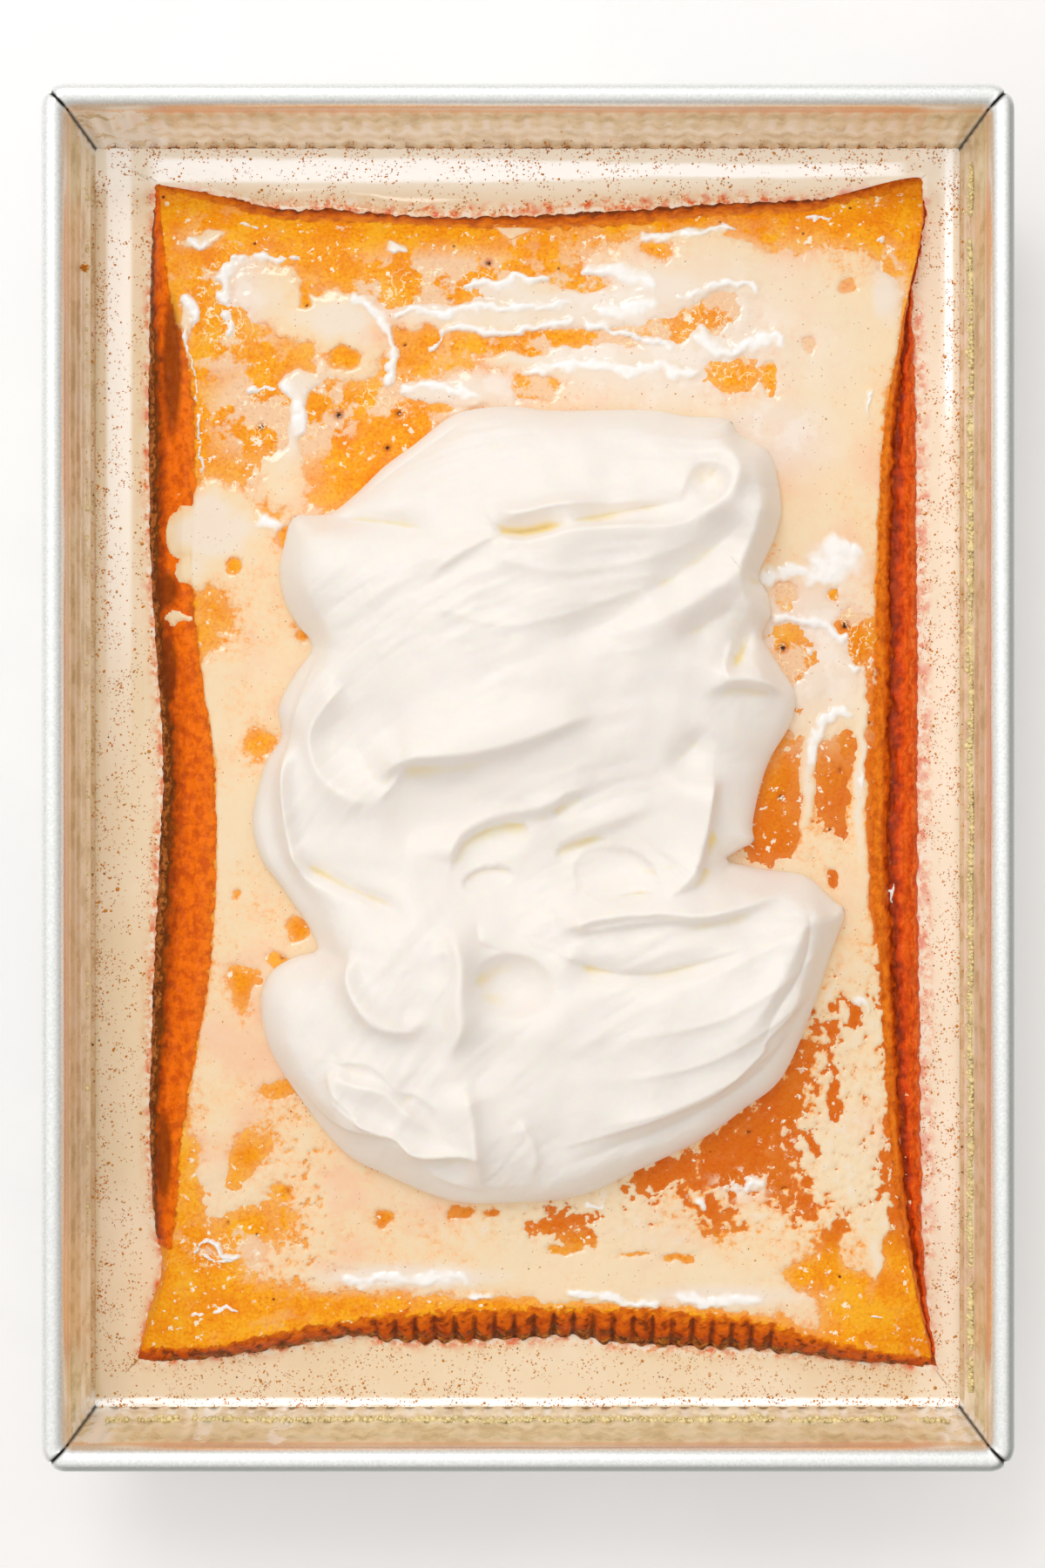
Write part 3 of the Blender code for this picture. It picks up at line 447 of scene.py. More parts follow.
# Bare patches in the film of milk: middle, half lengths and turn in degrees
BARE_PATCHES = [
    ((676, 325), (27, 13), 0), ((814, 356), (48, 17), 5), ((751, 289), (16, 9), 0),
    ((887, 260), (40, 24), 0), ((975, 328), (8, 8), 0), ((931, 394), (8, 8), 0),
    ((690, 385), (95, 12), 3), ((528, 405), (75, 12), 4), ((615, 445), (28, 14), 0),
    ((845, 432), (36, 26), 0), ((888, 430), (7, 14), 0), ((285, 480), (55, 66), -30),
    ((430, 510), (95, 66), 25), ((310, 578), (32, 18), 0), ((328, 612), (8, 12), 0),
    ((240, 706), (22, 42), 0), ((345, 725), (8, 8), 0), ((298, 855), (16, 20), 0),
    ((902, 680), (12, 14), 0), ((954, 680), (7, 7), 0), ((971, 718), (15, 20), 0),
    ((905, 752), (27, 42), -15), ((990, 745), (10, 36), 0), ((958, 889), (27, 63), -3),
    ((890, 905), (30, 62), -12), ((880, 965), (34, 24), 0), ((958, 1009), (8, 9), 0),
    ((1003, 930), (6, 120), 0),
    ((962, 1110), (6, 8), 0), ((960, 1153), (6, 7), 0), ((985, 1168), (9, 14), 0),
    ((956, 1179), (6, 6), 0), ((958, 1264), (6, 16), 0), ((926, 1215), (16, 48), -14),
    ((752, 1350), (34, 14), 30), ((818, 1338), (50, 30), 25), ((824, 1398), (20, 20), 0),
    ((858, 1298), (36, 28), 30), ((896, 1268), (30, 26), 0), ((898, 1352), (24, 28), 0),
    ((926, 1388), (16, 18), -40), ((965, 1406), (10, 18), -20), ((950, 1436), (11, 20), 0),
    ((924, 1463), (24, 17), 0), ((969, 1481), (22, 16), 0), ((934, 1312), (6, 12), 0),
    ((906, 1310), (7, 6), 0), ((928, 1358), (5, 8), 0), ((959, 1263), (6, 18), 0),
    ((955, 1223), (4, 12), 0), ((961, 1187), (6, 14), 0), ((862, 1332), (10, 8), 0),
    ((1019, 1408), (10, 36), 0), ((1033, 1456), (14, 40), -10), ((644, 1436), (18, 6), 0),
    ((672, 1424), (18, 8), 10), ((729, 1440), (16, 4), 0), ((777, 1445), (16, 5), 0),
    ((295, 1407), (36, 20), 10), ((325, 1365), (14, 10), 0), ((440, 1400), (10, 10), 0),
    ((524, 1392), (14, 8), 0), ((566, 1392), (10, 6), 0), ((644, 1406), (34, 16), 0),
    ((314, 1252), (22, 16), 0), ((285, 1330), (38, 20), 60),
    ((280, 1130), (18, 26), 0), ((318, 1099), (10, 12), 0), ((341, 1065), (12, 12), 0),
    ((274, 1028), (5, 6), 0), ((240, 280), (70, 60), 0), ((400, 275), (190, 45), 5),
    ((225, 400), (30, 120), 0), ((330, 390), (120, 110), 0), ((500, 340), (90, 50), 0),
    ((600, 290), (60, 30), 0), ((330, 470), (90, 60), 0), ((215, 1380), (16, 90), 0),
    ((240, 1480), (60, 60), 0), ((415, 1500), (150, 16), -3), ((1000, 1500), (50, 40), 0),
    ((1040, 240), (40, 70), 0), ((950, 240), (90, 24), -8), ((1020, 1380), (10, 60), 0),
]

# Where milk lies thick over a bare stretch: middle, half lengths and turn in degrees
FILM_ISLANDS = [
    ((305, 330), (48, 36), 0), ((368, 364), (62, 26), 10), ((402, 393), (50, 46), 0),
    ((340, 440), (22, 12), 0), ((234, 272), (30, 8), 15),
    ((216, 362), (8, 24), 0), ((342, 476), (9, 34), -8),
    ((325, 552), (34, 40), 0), ((530, 362), (90, 15), 0), ((512, 449), (56, 12), 0),
    ((590, 330), (34, 12), 0), ((586, 262), (26, 10), 0), ((450, 283), (12, 8), 0),
    ((928, 895), (6, 58), -4), ((989, 890), (5, 80), 0), ((250, 600), (46, 44), 0), ((640, 345),
    (60, 10), 0), ((700, 350), (40, 16), 0),
    ((640, 410), (110, 9), 0), ((760, 330), (40, 20), 0),
    ((470, 1468), (90, 7), 0), ((1010, 1425), (8, 60), -8), ((1015, 345), (12, 20), 0),
]

# Holes in those islands, in the same terms
FILM_HOLES = [
    ((396, 408), (18, 13), 0), ((358, 335), (9, 7), 0), ((352, 350), (6, 6), 0), ((563, 268),
    (12, 7), 0),
    ((690, 352), (22, 9), 0), ((612, 404), (16, 6), 0), ((268, 648), (8, 10), 0),
]

# Rolls of thicker milk, painted near white as highlights where they catch the light: half width in
# millimetres and path
FILM_ROLLS = [
    (1.3, [(284, 291), (261, 308), (255, 337), (263, 374), (269, 387)]),
    (0.9, [(284, 291), (317, 295), (350, 297)]),
    (0.9, [(400, 341), (429, 353), (443, 378), (452, 407), (450, 432), (441, 445)]),
    (1.5, [(317, 440), (334, 453), (344, 478), (348, 503)]),
    (0.9, [(280, 449), (304, 445), (321, 453)]),
    (0.9, [(445, 277), (458, 287), (474, 295)]),
    (0.7, [(450, 370), (474, 353), (508, 362), (532, 353), (574, 353), (606, 353), (660, 346)]),
    (0.7, [(483, 395), (499, 399), (512, 378), (532, 374), (570, 382), (606, 378), (664, 366)]),
    (0.9, [(458, 449), (491, 442), (524, 449), (553, 461)]),
    (0.5, [(217, 378), (213, 395), (222, 420), (226, 461), (229, 503), (234, 544)]),
    (1.1, [(201, 337), (217, 345), (226, 362), (222, 376)]),
    (1.2, [(292, 594), (317, 602), (325, 610)]),
    (0.8, [(271, 250), (284, 258), (300, 256)]),
    (0.9, [(532, 333), (553, 320), (574, 328), (591, 316), (606, 320), (636, 318)]),
    (0.5, [(408, 484), (425, 496)]),
    (0.6, [(491, 266), (503, 275)]),
    (0.9, [(213, 270), (230, 279), (242, 275)]),
    (0.7, [(220, 1445), (240, 1424), (261, 1445), (277, 1437)]),
    (0.5, [(232, 1438), (250, 1450), (272, 1449)]),
    (0.8, [(208, 1515), (236, 1507), (261, 1501), (285, 1511)]),
    (1.0, [(390, 1465), (422, 1473), (442, 1465), (478, 1469), (519, 1463), (539, 1473)]),
    (0.6, [(531, 1489), (567, 1487)]),
    (1.6, [(869, 667), (907, 655), (946, 663), (976, 644), (985, 622)]),
    (4.5, [(942, 662), (958, 645), (978, 622)]),
    (0.9, [(932, 880), (934, 850), (944, 828), (960, 818)]),
    (0.8, [(888, 711), (915, 709), (942, 716), (965, 732), (980, 728)]),
    (0.9, [(932, 854), (946, 831), (965, 816), (980, 824)]),
    (0.3, [(988, 880), (992, 910)]),
    (0.5, [(1026, 1003), (1030, 1034), (1018, 1065)]),
    (0.7, [(925, 743), (932, 755)]),
    (0.8, [(980, 759), (988, 774)]),
    (0.8, [(733, 271), (769, 269), (809, 264), (842, 259), (858, 265)]),
    (1.7, [(668, 314), (700, 310), (732, 320), (757, 332)]),
    (1.4, [(684, 360), (730, 354), (757, 346)]),
    (1.2, [(804, 370), (806, 388), (830, 404), (858, 396), (890, 386), (894, 404)]),
    (1.0, [(600, 426), (640, 422), (681, 418), (721, 426), (753, 420), (781, 430), (805, 422)]),
    (0.7, [(777, 346), (793, 338), (826, 326), (862, 326), (870, 338)]),
    (0.7, [(922, 249), (963, 247)]),
    (0.8, [(1007, 281), (1023, 265)]),
    (0.3, [(1001, 445), (995, 479)]),
    (0.7, [(664, 366), (697, 378), (777, 398)]),
    (0.6, [(978, 1152), (990, 1150), (996, 1166)]),
    (0.8, [(801, 1372), (813, 1390)]),
    (0.8, [(854, 1364), (882, 1354)]),
    (1.1, [(769, 1485), (801, 1493), (842, 1493), (878, 1489)]),
    (0.7, [(644, 1481), (677, 1487), (705, 1487), (721, 1497), (761, 1497)]),
    (0.6, [(975, 1525), (999, 1527)]),
    (0.7, [(991, 1509), (1008, 1514), (1027, 1509)]),
    (0.5, [(668, 1384), (697, 1386)]),
]

# Small dark pits: middle and half width, in picture points
PITS = [
    (458, 474, 4), (572, 423, 4), (462, 374, 5), (465, 395, 2), (389, 476, 5), (445, 514, 4),
    (561, 301, 4), (352, 350, 2), (516, 343, 2), (971, 718, 5), (899, 744, 5), (897, 915, 4),
    (965, 884, 3), (977, 900, 4), (645, 340, 2), (817, 452, 3), (333, 1367, 4), (261, 1404, 2),
    (802, 1490, 3), (834, 1366, 4), (901, 1366, 4), (860, 1300, 3), (325, 1098, 3), (300, 490, 4),
]

# Where milk runs down over the cake's side: middle and half lengths
MILK_TONGUES = [((212, 612), (22, 30)), ((214, 655), (14, 16)), ((203, 709), (16, 8))]

# Where the film of milk lies in ripples, with painted sheen on the film there and painted glints on the
# bare cake: middle and half lengths
RIPPLED_AREAS = [
    ((760, 390), (150, 75)), ((510, 335), (80, 30)), ((260, 345), (40, 60)), ((955, 645), (26, 16)),
    ((1020, 330), (14, 30)), ((560, 450), (60, 20)), ((480, 460), (90, 20)), ((255, 1438), (36, 20)),
    ((465, 1465), (80, 12)), ((825, 1488), (70, 10)), ((850, 1360), (22, 12)), ((930, 740), (70, 70)),
    ((880, 500), (60, 40)), ((330, 470), (60, 40)),
]

# Dark places on the cake's left side: middle and half lengths
SCORCHED_AREAS = [
    ((189, 676), (16, 24)), ((190, 766), (14, 46)), ((196, 420), (14, 90)), ((186, 1330), (12, 60)),
]

# Where white residue clings to the pan's walls: middle and half lengths
RESIDUE_LEVEL = 45.0
RESIDUE_AREAS = [
    ((104, 142), (26, 12)), ((150, 142), (26, 8)), ((104, 1638), (26, 16)), ((88, 1656), (12, 12)),
    ((1138, 1650), (20, 14)), ((1100, 1640), (26, 8)), ((232, 1644), (8, 5)), ((320, 1646), (10, 4)),
]

# A crumb that sticks to the left wall
ORANGE_CRUMB = (97, 307)
ORANGE_CRUMB_LEVEL = 40.0


def smooth_step(share):
    share = np.clip(share, 0.0, 1.0)
    return share * share * (3 - 2 * share)


def within(value, low, high, soft):
    """1 between two bounds, and an easy slope of this width down to 0 inside each of them."""
    return smooth_step((value - low) / soft) * smooth_step((high - value) / soft)


def bell(distance, reach, power=2):
    """1 in the middle and near 0 beyond the reach, with a flat top where the power is high."""
    return np.exp(-((distance / reach) ** power))


class Lumps:
    """Smooth noise between about -1 and 1, whose lumps are one unit wide."""

    def __init__(self, seed):
        angle = np.random.default_rng(seed).uniform(0, 2 * math.pi, (256, 256))
        self.slope_x = np.cos(angle)
        self.slope_y = np.sin(angle)

    def at(self, x, y):
        cell_x = np.floor(x).astype(int)
        cell_y = np.floor(y).astype(int)
        in_x = x - cell_x
        in_y = y - cell_y

        def corner(step_x, step_y):
            index = ((cell_x + step_x) & 255, (cell_y + step_y) & 255)
            return self.slope_x[index] * (in_x - step_x) + self.slope_y[index] * (in_y - step_y)

        ease_x = in_x**3 * (in_x * (in_x * 6 - 15) + 10)
        ease_y = in_y**3 * (in_y * (in_y * 6 - 15) + 10)
        low = corner(0, 0) * (1 - ease_x) + corner(1, 0) * ease_x
        high = corner(0, 1) * (1 - ease_x) + corner(1, 1) * ease_x
        return 1.5 * (low * (1 - ease_y) + high * ease_y)

    def layered(self, x, y, size, layers=4, gain=0.5):
        """Lumps of this size with ever finer ones on them."""
        total = 0.0
        for layer in range(layers):
            scale = 2.0**layer / size
            total = total + gain**layer * self.at(x * scale + 17.3 * layer, y * scale + 5.9 * layer)
        return total


def seen_from_above(points, height):
    """Places in millimetres of picture points that lie at this height above the base."""
    picture = np.array(points, float)
    scale = POINTS_PER_MM_AT_RIM * VIEW_DISTANCE_TO_RIM / (VIEW_DISTANCE_TO_RIM + PAN_HEIGHT - height)
    across = (picture[:, 0] - PICTURE_MIDDLE[0]) / scale + VIEW_MIDDLE[0]
    along = (PICTURE_MIDDLE[1] - picture[:, 1]) / scale + VIEW_MIDDLE[1]
    return np.column_stack((across, along))


def smooth_path(points, per_span, closed=False):
    """Points on a curve that runs smoothly through the given ones."""
    points = np.asarray(points, float)
    count = len(points)
    spans = count if closed else count - 1
    places = np.arange(spans * per_span + (0 if closed else 1)) / per_span
    start = np.minimum(places.astype(int), spans - 1)
    share = (places - start)[:, None]
    index = [start - 1, start, start + 1, start + 2]
    index = [i % count if closed else np.clip(i, 0, count - 1) for i in index]
    before, here, there, after = (points[i] for i in index)
    bend = 2 * before - 5 * here + 4 * there - after
    swing = 3 * (here - there) + after - before
    return here + 0.5 * share * (there - before + share * (bend + share * swing))


def along_run(run, share):
    """Places at these shares of a run's length."""
    length = np.concatenate(([0.0], np.cumsum(np.linalg.norm(np.diff(run, axis=0), axis=1))))
    return np.column_stack([np.interp(share * length[-1], length, run[:, axis]) for axis in range(2)])


def even_loop(points, count):
    """A closed smooth loop through the points, as this many evenly spaced ones."""
    path = smooth_path(points, 16, closed=True)
    return along_run(np.vstack((path, path[:1])), np.arange(count) / count)


def offset_from_path(places, path):
    """Each place's distance from the path, its side (1 left, -1 right) and how far along it is."""
    start = path[:-1]
    step = np.diff(path, axis=0)
    length = np.linalg.norm(step, axis=1)
    run = np.concatenate(([0.0], np.cumsum(length)))
    best = np.full(len(places), np.inf)
    side = np.ones(len(places))
    along = np.zeros(len(places))
    for k in range(len(step)):
        away = places - start[k]
        share = np.clip(away @ step[k] / length[k] ** 2, 0.0, 1.0)
        distance = np.hypot(*(away - share[:, None] * step[k]).T)
        nearer = distance < best
        best[nearer] = distance[nearer]
        turn = step[k, 0] * away[:, 1] - step[k, 1] * away[:, 0]
        side[nearer] = np.sign(turn)[nearer]
        along[nearer] = (run[k] + share * length[k])[nearer]
    return best, side, along, run[-1]


def inside_loop(x, y, loop):
    """Which places lie inside a closed run of points."""
    inside = np.zeros(np.shape(x), bool)
    for here, there in zip(loop[:-1], loop[1:]):
        if here[1] == there[1]:
            continue
        between = (here[1] > y) != (there[1] > y)
        crossing = here[0] + (y - here[1]) / (there[1] - here[1]) * (there[0] - here[0])
        inside ^= between & (x < crossing)
    return inside


def drawn_square(sides, u, v):
    """Where points of the unit square go when its near, right, far and left sides become these runs."""
    near, right, far, left = sides
    u_share, v_share = u[:, None], v[:, None]
    between_ends = along_run(near, u) * (1 - v_share) + along_run(far, u) * v_share
    between_sides = along_run(left, v) * (1 - u_share) + along_run(right, v) * u_share
    near_corners = near[0] * (1 - u_share) + near[-1] * u_share
    far_corners = far[0] * (1 - u_share) + far[-1] * u_share
    return between_ends + between_sides - near_corners * (1 - v_share) - far_corners * v_share


def crowded_grid(cells):
    """The (u, v) points of a square grid whose lines crowd towards its sides."""
    u, v = (np.linspace(0.0, 1.0, count + 1) for count in cells)
    u, v = (line + CROWDING * (0.5 - 0.5 * np.cos(math.pi * line) - line) for line in (u, v))
    return [axis.ravel() for axis in np.meshgrid(u, v)]


def at_level(places, height):
    """The same places across and along, all at this height."""
    return np.column_stack((places[:, :2], np.full(len(places), height)))


def mesh_object(name, places, polygons, attributes=None):
    """An object from places in millimetres and polygons, given as arrays of equal-sided faces."""
    mesh = bpy.data.meshes.new(name)
    places = np.asarray(places, float)
    sizes = np.concatenate([np.full(len(faces), faces.shape[1]) for faces in polygons])
    corners = np.concatenate([faces.ravel() for faces in polygons])
    mesh.vertices.add(len(places))
    mesh.vertices.foreach_set("co", (places * MM).ravel())
    mesh.loops.add(len(corners))
    mesh.loops.foreach_set("vertex_index", corners.astype(np.int32))
    mesh.polygons.add(len(sizes))
    mesh.polygons.foreach_set("loop_start", np.concatenate(([0], np.cumsum(sizes)[:-1])).astype(np.int32))
    mesh.update(calc_edges=True)
    mesh.validate()
    for key, values in (attributes or {}).items():
        mesh.attributes.new(key, "FLOAT", "POINT").data.foreach_set("value", np.ravel(values).astype(float))
    mesh.shade_smooth()
    obj = bpy.data.objects.new(name, mesh)
    bpy.context.scene.collection.objects.link(obj)
    return obj


def grid_faces(rows, columns, closed_rows=False, closed_columns=False):
    """Four-sided faces of a grid of vertices, turned up when rows run away and columns rightwards."""
    row = np.arange(rows if closed_rows else rows - 1)
    column = np.arange(columns if closed_columns else columns - 1)
    row, column = (axis.ravel() for axis in np.meshgrid(row, column, indexing="ij"))
    start, end = (line % rows * columns for line in (row, row + 1))
    after = (column + 1) % columns
    return np.column_stack((start + column, start + after, end + after, end + column))


def rim_loop(cells):
    """The vertices round a grid's edge, anticlockwise."""
    rows, columns = cells[1] + 1, cells[0] + 1
    near = np.arange(columns)
    right = np.arange(1, rows) * columns + columns - 1
    far = (rows - 1) * columns + np.arange(columns - 2, -1, -1)
    left = np.arange(rows - 2, 0, -1) * columns
    return np.concatenate((near, right, far, left))


def closed_body(name, top, cells, lower_rings, attributes):
    """A grid of places with rings of places below its edge, closed by one face underneath."""
    rim = rim_loop(cells)
    count = len(rim)
    rings = [rim] + [len(top) + k * count + np.arange(count) for k in range(len(lower_rings))]
    faces = [grid_faces(cells[1] + 1, cells[0] + 1)]
    for upper, lower in zip(rings[:-1], rings[1:]):
        faces.append(np.column_stack((upper, lower, np.roll(lower, -1), np.roll(upper, -1))))
    faces.append(rings[-1][::-1][None])
    whole = {}
    for key, values in attributes.items():
        whole[key] = np.concatenate([values] + [values[rim]] * len(lower_rings))
    return mesh_object(name, np.vstack([top] + lower_rings), faces, whole)


def loop_outward(loop):
    """The level direction out of an anticlockwise closed loop, at each of its points."""
    along = np.roll(loop, -1, axis=0) - np.roll(loop, 1, axis=0)
    along /= np.maximum(np.linalg.norm(along, axis=1), 1e-9)[:, None]
    return np.column_stack((along[:, 1], -along[:, 0]))


def ellipse_shares(x, y, middle, half, turn, height):
    """Where each place is in a turned ellipse at this height: -1 to 1 along and across it."""
    place = seen_from_above([middle], height)[0]
    half = np.array(half) / POINTS_PER_MM_AT_RIM
    cos, sin = math.cos(math.radians(turn)), math.sin(math.radians(turn))
    away_x, away_y = x - place[0], y - place[1]
    return (away_x * cos + away_y * sin) / half[0], (away_y * cos - away_x * sin) / half[1]


def ellipse_reach(x, y, middle, half, turn, height=CAKE_TOP):
    """How far out of a turned ellipse at this height each place is: 1 on its edge, squared."""
    along, across = ellipse_shares(x, y, middle, half, turn, height)
    return along**2 + across**2


def spread(x, y, areas, height=CAKE_TOP, fall=AREA_FALL):
    """How near each place is to the middle of one of these areas: 1 there, 0 well outside."""
    near = np.zeros(np.shape(x))
    for middle, half in areas:
        near = np.maximum(near, np.exp(-fall * ellipse_reach(x, y, middle, half, 0, height)))
    return near


class CakeForm:
    """The cake's foot and rim on all four sides, and its height anywhere."""

    def __init__(self):
        self.foot = {}
        self.rim = {}
        feet = (CAKE_FOOT_LEFT, CAKE_FOOT_RIGHT, CAKE_FOOT_FAR, CAKE_FOOT_NEAR)
        rims = (CAKE_RIM_LEFT, CAKE_RIM_RIGHT, CAKE_RIM_FAR, CAKE_RIM_NEAR)
        for name, foot, rim in zip(("left", "right", "far", "near"), feet, rims):
            self.foot[name] = self.side_line(foot, MILK_LEVEL, name)
            self.rim[name] = self.side_line(rim, CAKE_TOP, name)
        self.tips = []
        for name in ("far", "near"):
            along, out = self.foot[name]
            self.tips += [(along[0], out[0]), (along[-1], out[-1])]
        edge = even_loop(seen_from_above(CREAM_OUTLINE, CREAM_FOOT_LEVEL), 160)
        self.cream_edge = np.vstack((edge, edge[:1]))
        self.lumps = Lumps(11)

    @staticmethod
    def turned(name, x, y):
        """The same places as (how far along this side, how far out)."""
        return (y, x) if name in ("left", "right") else (x, y)

    def side_line(self, points, height, name):
        """A side as (where along it, how far out it is), in rising order."""
        along, out = self.turned(name, *smooth_path(seen_from_above(points, height), 6).T)
        order = np.argsort(along)
        return along[order], out[order]

    def inward(self, lines, name, x, y):
        """How far inside a side's line each place is."""
        along, out = self.turned(name, x, y)
        gap = np.interp(along, *lines[name]) - out
        return gap if name in ("far", "right") else -gap

    def reach(self, name, x, y):
        """How far each place is across the side: 0 at its foot, 1 at its rim, 2 that far beyond."""
        along, out = self.turned(name, x, y)
        foot = np.interp(along, *self.foot[name])
        width = np.interp(along, *self.rim[name]) - foot
        width = np.where(np.abs(width) < 1.0, np.sign(width), width)
        return np.clip((out - foot) / width, 0.0, 2.0)

    def share(self, name, x, y):
        return np.minimum(self.reach(name, x, y), 1.0)

    def climb(self, name, x, y):
        """The share of the side's height that is reached at each place."""
        table = CREASED_SIDE if name == "right" else PLAIN_SIDE
        return np.interp(self.share(name, x, y), *zip(*table))

    def from_cream(self, x, y):
        """How far each place is from the cream's edge, and whether it lies under the cream."""
        gap = offset_from_path(np.column_stack((x, y)), self.cream_edge)[0]
        return gap, inside_loop(x, y, self.cream_edge)

    def top(self, x, y):
        """The height of the top where no side pulls it down."""
        from_far = np.maximum(self.inward(self.foot, "far", x, y), 0.0)
        height = CAKE_TOP - CAKE_FAR_DROP * bell(from_far, CAKE_FAR_REACH)
        for tip in self.tips:
            height = height - CAKE_TIP_DROP * bell(np.hypot(x - tip[0], y - tip[1]), CAKE_TIP_REACH)
        wave = np.sin(x / DENT_PITCH[0] + 1.3) * np.sin(y / DENT_PITCH[1] + 0.4)
        cross = np.sin(1.9 * x / DENT_PITCH[0] - 1.8 * y / DENT_PITCH[1])
        gap, covered = self.from_cream(x, y)
        shown = smooth_step((gap - DENT_START) / DENT_FADE) * ~covered
        height = height - DENT * (1 + 0.6 * wave + 0.4 * cross) * shown
        return np.maximum(height, MILK_LEVEL + CAKE_LEAST_RISE)

    def height(self, x, y):
        """The height of the cake, and the share of its side's climb that is reached."""
        share = np.ones(np.shape(x))
        for name in self.foot:
            share = np.minimum(share, self.climb(name, x, y))
        low = MILK_LEVEL - CAKE_SINK
        return low + (self.top(x, y) - low) * share, share

    def sides(self):
        """The foot as four runs: near and far ones go rightwards, left and right ones away."""
        near, far = (np.column_stack(self.foot[name]) for name in ("near", "far"))
        left, right = (np.column_stack(self.foot[name][::-1]) for name in ("left", "right"))
        return near, right, far, left

    def surface(self, u, v):
        """Places on the finished cake, and the values there that its colours go by."""
        x, y = drawn_square(self.sides(), u, v).T
        z, climb = self.height(x, y)
        side = 1 - smooth_step((climb - 0.8) / 0.2)
        ragged = RAGGED_EDGE * self.lumps.layered(x + 40, y, RAGGED_SIZE, layers=5, gain=0.65)
        wear = self.lumps.layered(x, y, WEAR_SIZE, layers=5, gain=0.7)
        fields = {name: self.reach(name, x, y) + amount * wear for name, amount in SIDE_WEAR.items()}
        fields["left"] = np.maximum(fields["left"], 2 * smooth_step((LEFT_SIDE_END - y) / 8))
        fields["wear"] = wear
        pits = [((across, along), (half, half)) for across, along, half in PITS]
        fields["pit"] = spread(x, y, pits, fall=1.0)
        fields["wet"] = spread(x, y, RIPPLED_AREAS)
        fields["deep"] = near_right(x, y)
        fields["soak"] = film_cover(self, x, y, 0.0)
        near, far = (smooth_step(3 * (1 - self.share(name, x, y))) for name in ("near", "far"))
        edge = ragged * smooth_step((1 - climb) / 0.6)
        x = x + edge * (RAGGED_LEFT * (u < 0.5) - RAGGED_RIGHT * (u > 0.5))
        y = y + edge * RAGGED_NEAR * (v < 0.5)
        groove = 1 - np.abs(np.sin(math.pi * (x - NEAR_FLUTES[0]) / FLUTE_PITCH)) ** 0.8
        fields["groove"] = groove * near * within(x, *NEAR_FLUTES, CAKE_FLUTE_FADE)
        far_groove = groove * far * within(x, *FAR_FLUTES, CAKE_FLUTE_FADE)
        y = y + CAKE_FLUTE_DEPTH * fields["groove"] - FAR_FLUTE_DEPTH * far_groove
        fields["scorch"] = spread(x, y, SCORCHED_AREAS)
        crumb = self.lumps.layered(x, y, CRUMB_SIZE, layers=3, gain=0.6)
        z = z + crumb * (TOP_CRUMB + (SIDE_CRUMB - TOP_CRUMB) * side)
        z = z + SIDE_SWELL * ragged * side - PIT_DEPTH * fields["pit"]
        return np.column_stack((x, y, z)), fields


def add_cake(form):
    top, fields = form.surface(*crowded_grid(CAKE_CELLS))
    edge = top[rim_loop(CAKE_CELLS)]
    lower = [at_level(edge, MILK_LEVEL - CAKE_SKIRT), at_level(edge, CAKE_BOTTOM)]
    return closed_body("cake_sponge", top, CAKE_CELLS, lower, fields)


def near_right(x, y):
    """How far towards the cake's near right each place is, where less milk has stayed on it."""
    way = NEAR_RIGHT_WAY[0] * x + NEAR_RIGHT_WAY[1] * y
    start = smooth_step((way - NEAR_RIGHT_START) / NEAR_RIGHT_FADE)
    return start * smooth_step((y - NEAR_RIGHT_END) / 15.0)


def film_rolls(x, y):
    """How high the film's rolls of milk stand at each place, from 0 to about 1."""
    lumps = Lumps(29)
    bent_x = x + ROLL_BEND * lumps.layered(x, y, ROLL_BEND_SIZE, layers=3)
    bent_y = y + ROLL_BEND * lumps.layered(x + 70, y, ROLL_BEND_SIZE, layers=3)
    bent = np.column_stack((bent_x, bent_y))
    rise = np.zeros(len(x))
    for width, points in FILM_ROLLS:
        path = smooth_path(seen_from_above(points, CAKE_TOP), 4)
        near = ((bent > path.min(axis=0) - 3 * width) & (bent < path.max(axis=0) + 3 * width)).all(axis=1)
        away, _, along, length = offset_from_path(bent[near], path)
        fade = within(along, -0.5, length + 0.5, ROLL_TAPER)
        rise[near] = np.maximum(rise[near], fade * bell(away, ROLL_WIDTH * width))
    return rise * np.clip(0.9 + 0.6 * lumps.layered(x, y, 4.0, layers=2), 0.1, 1.2)


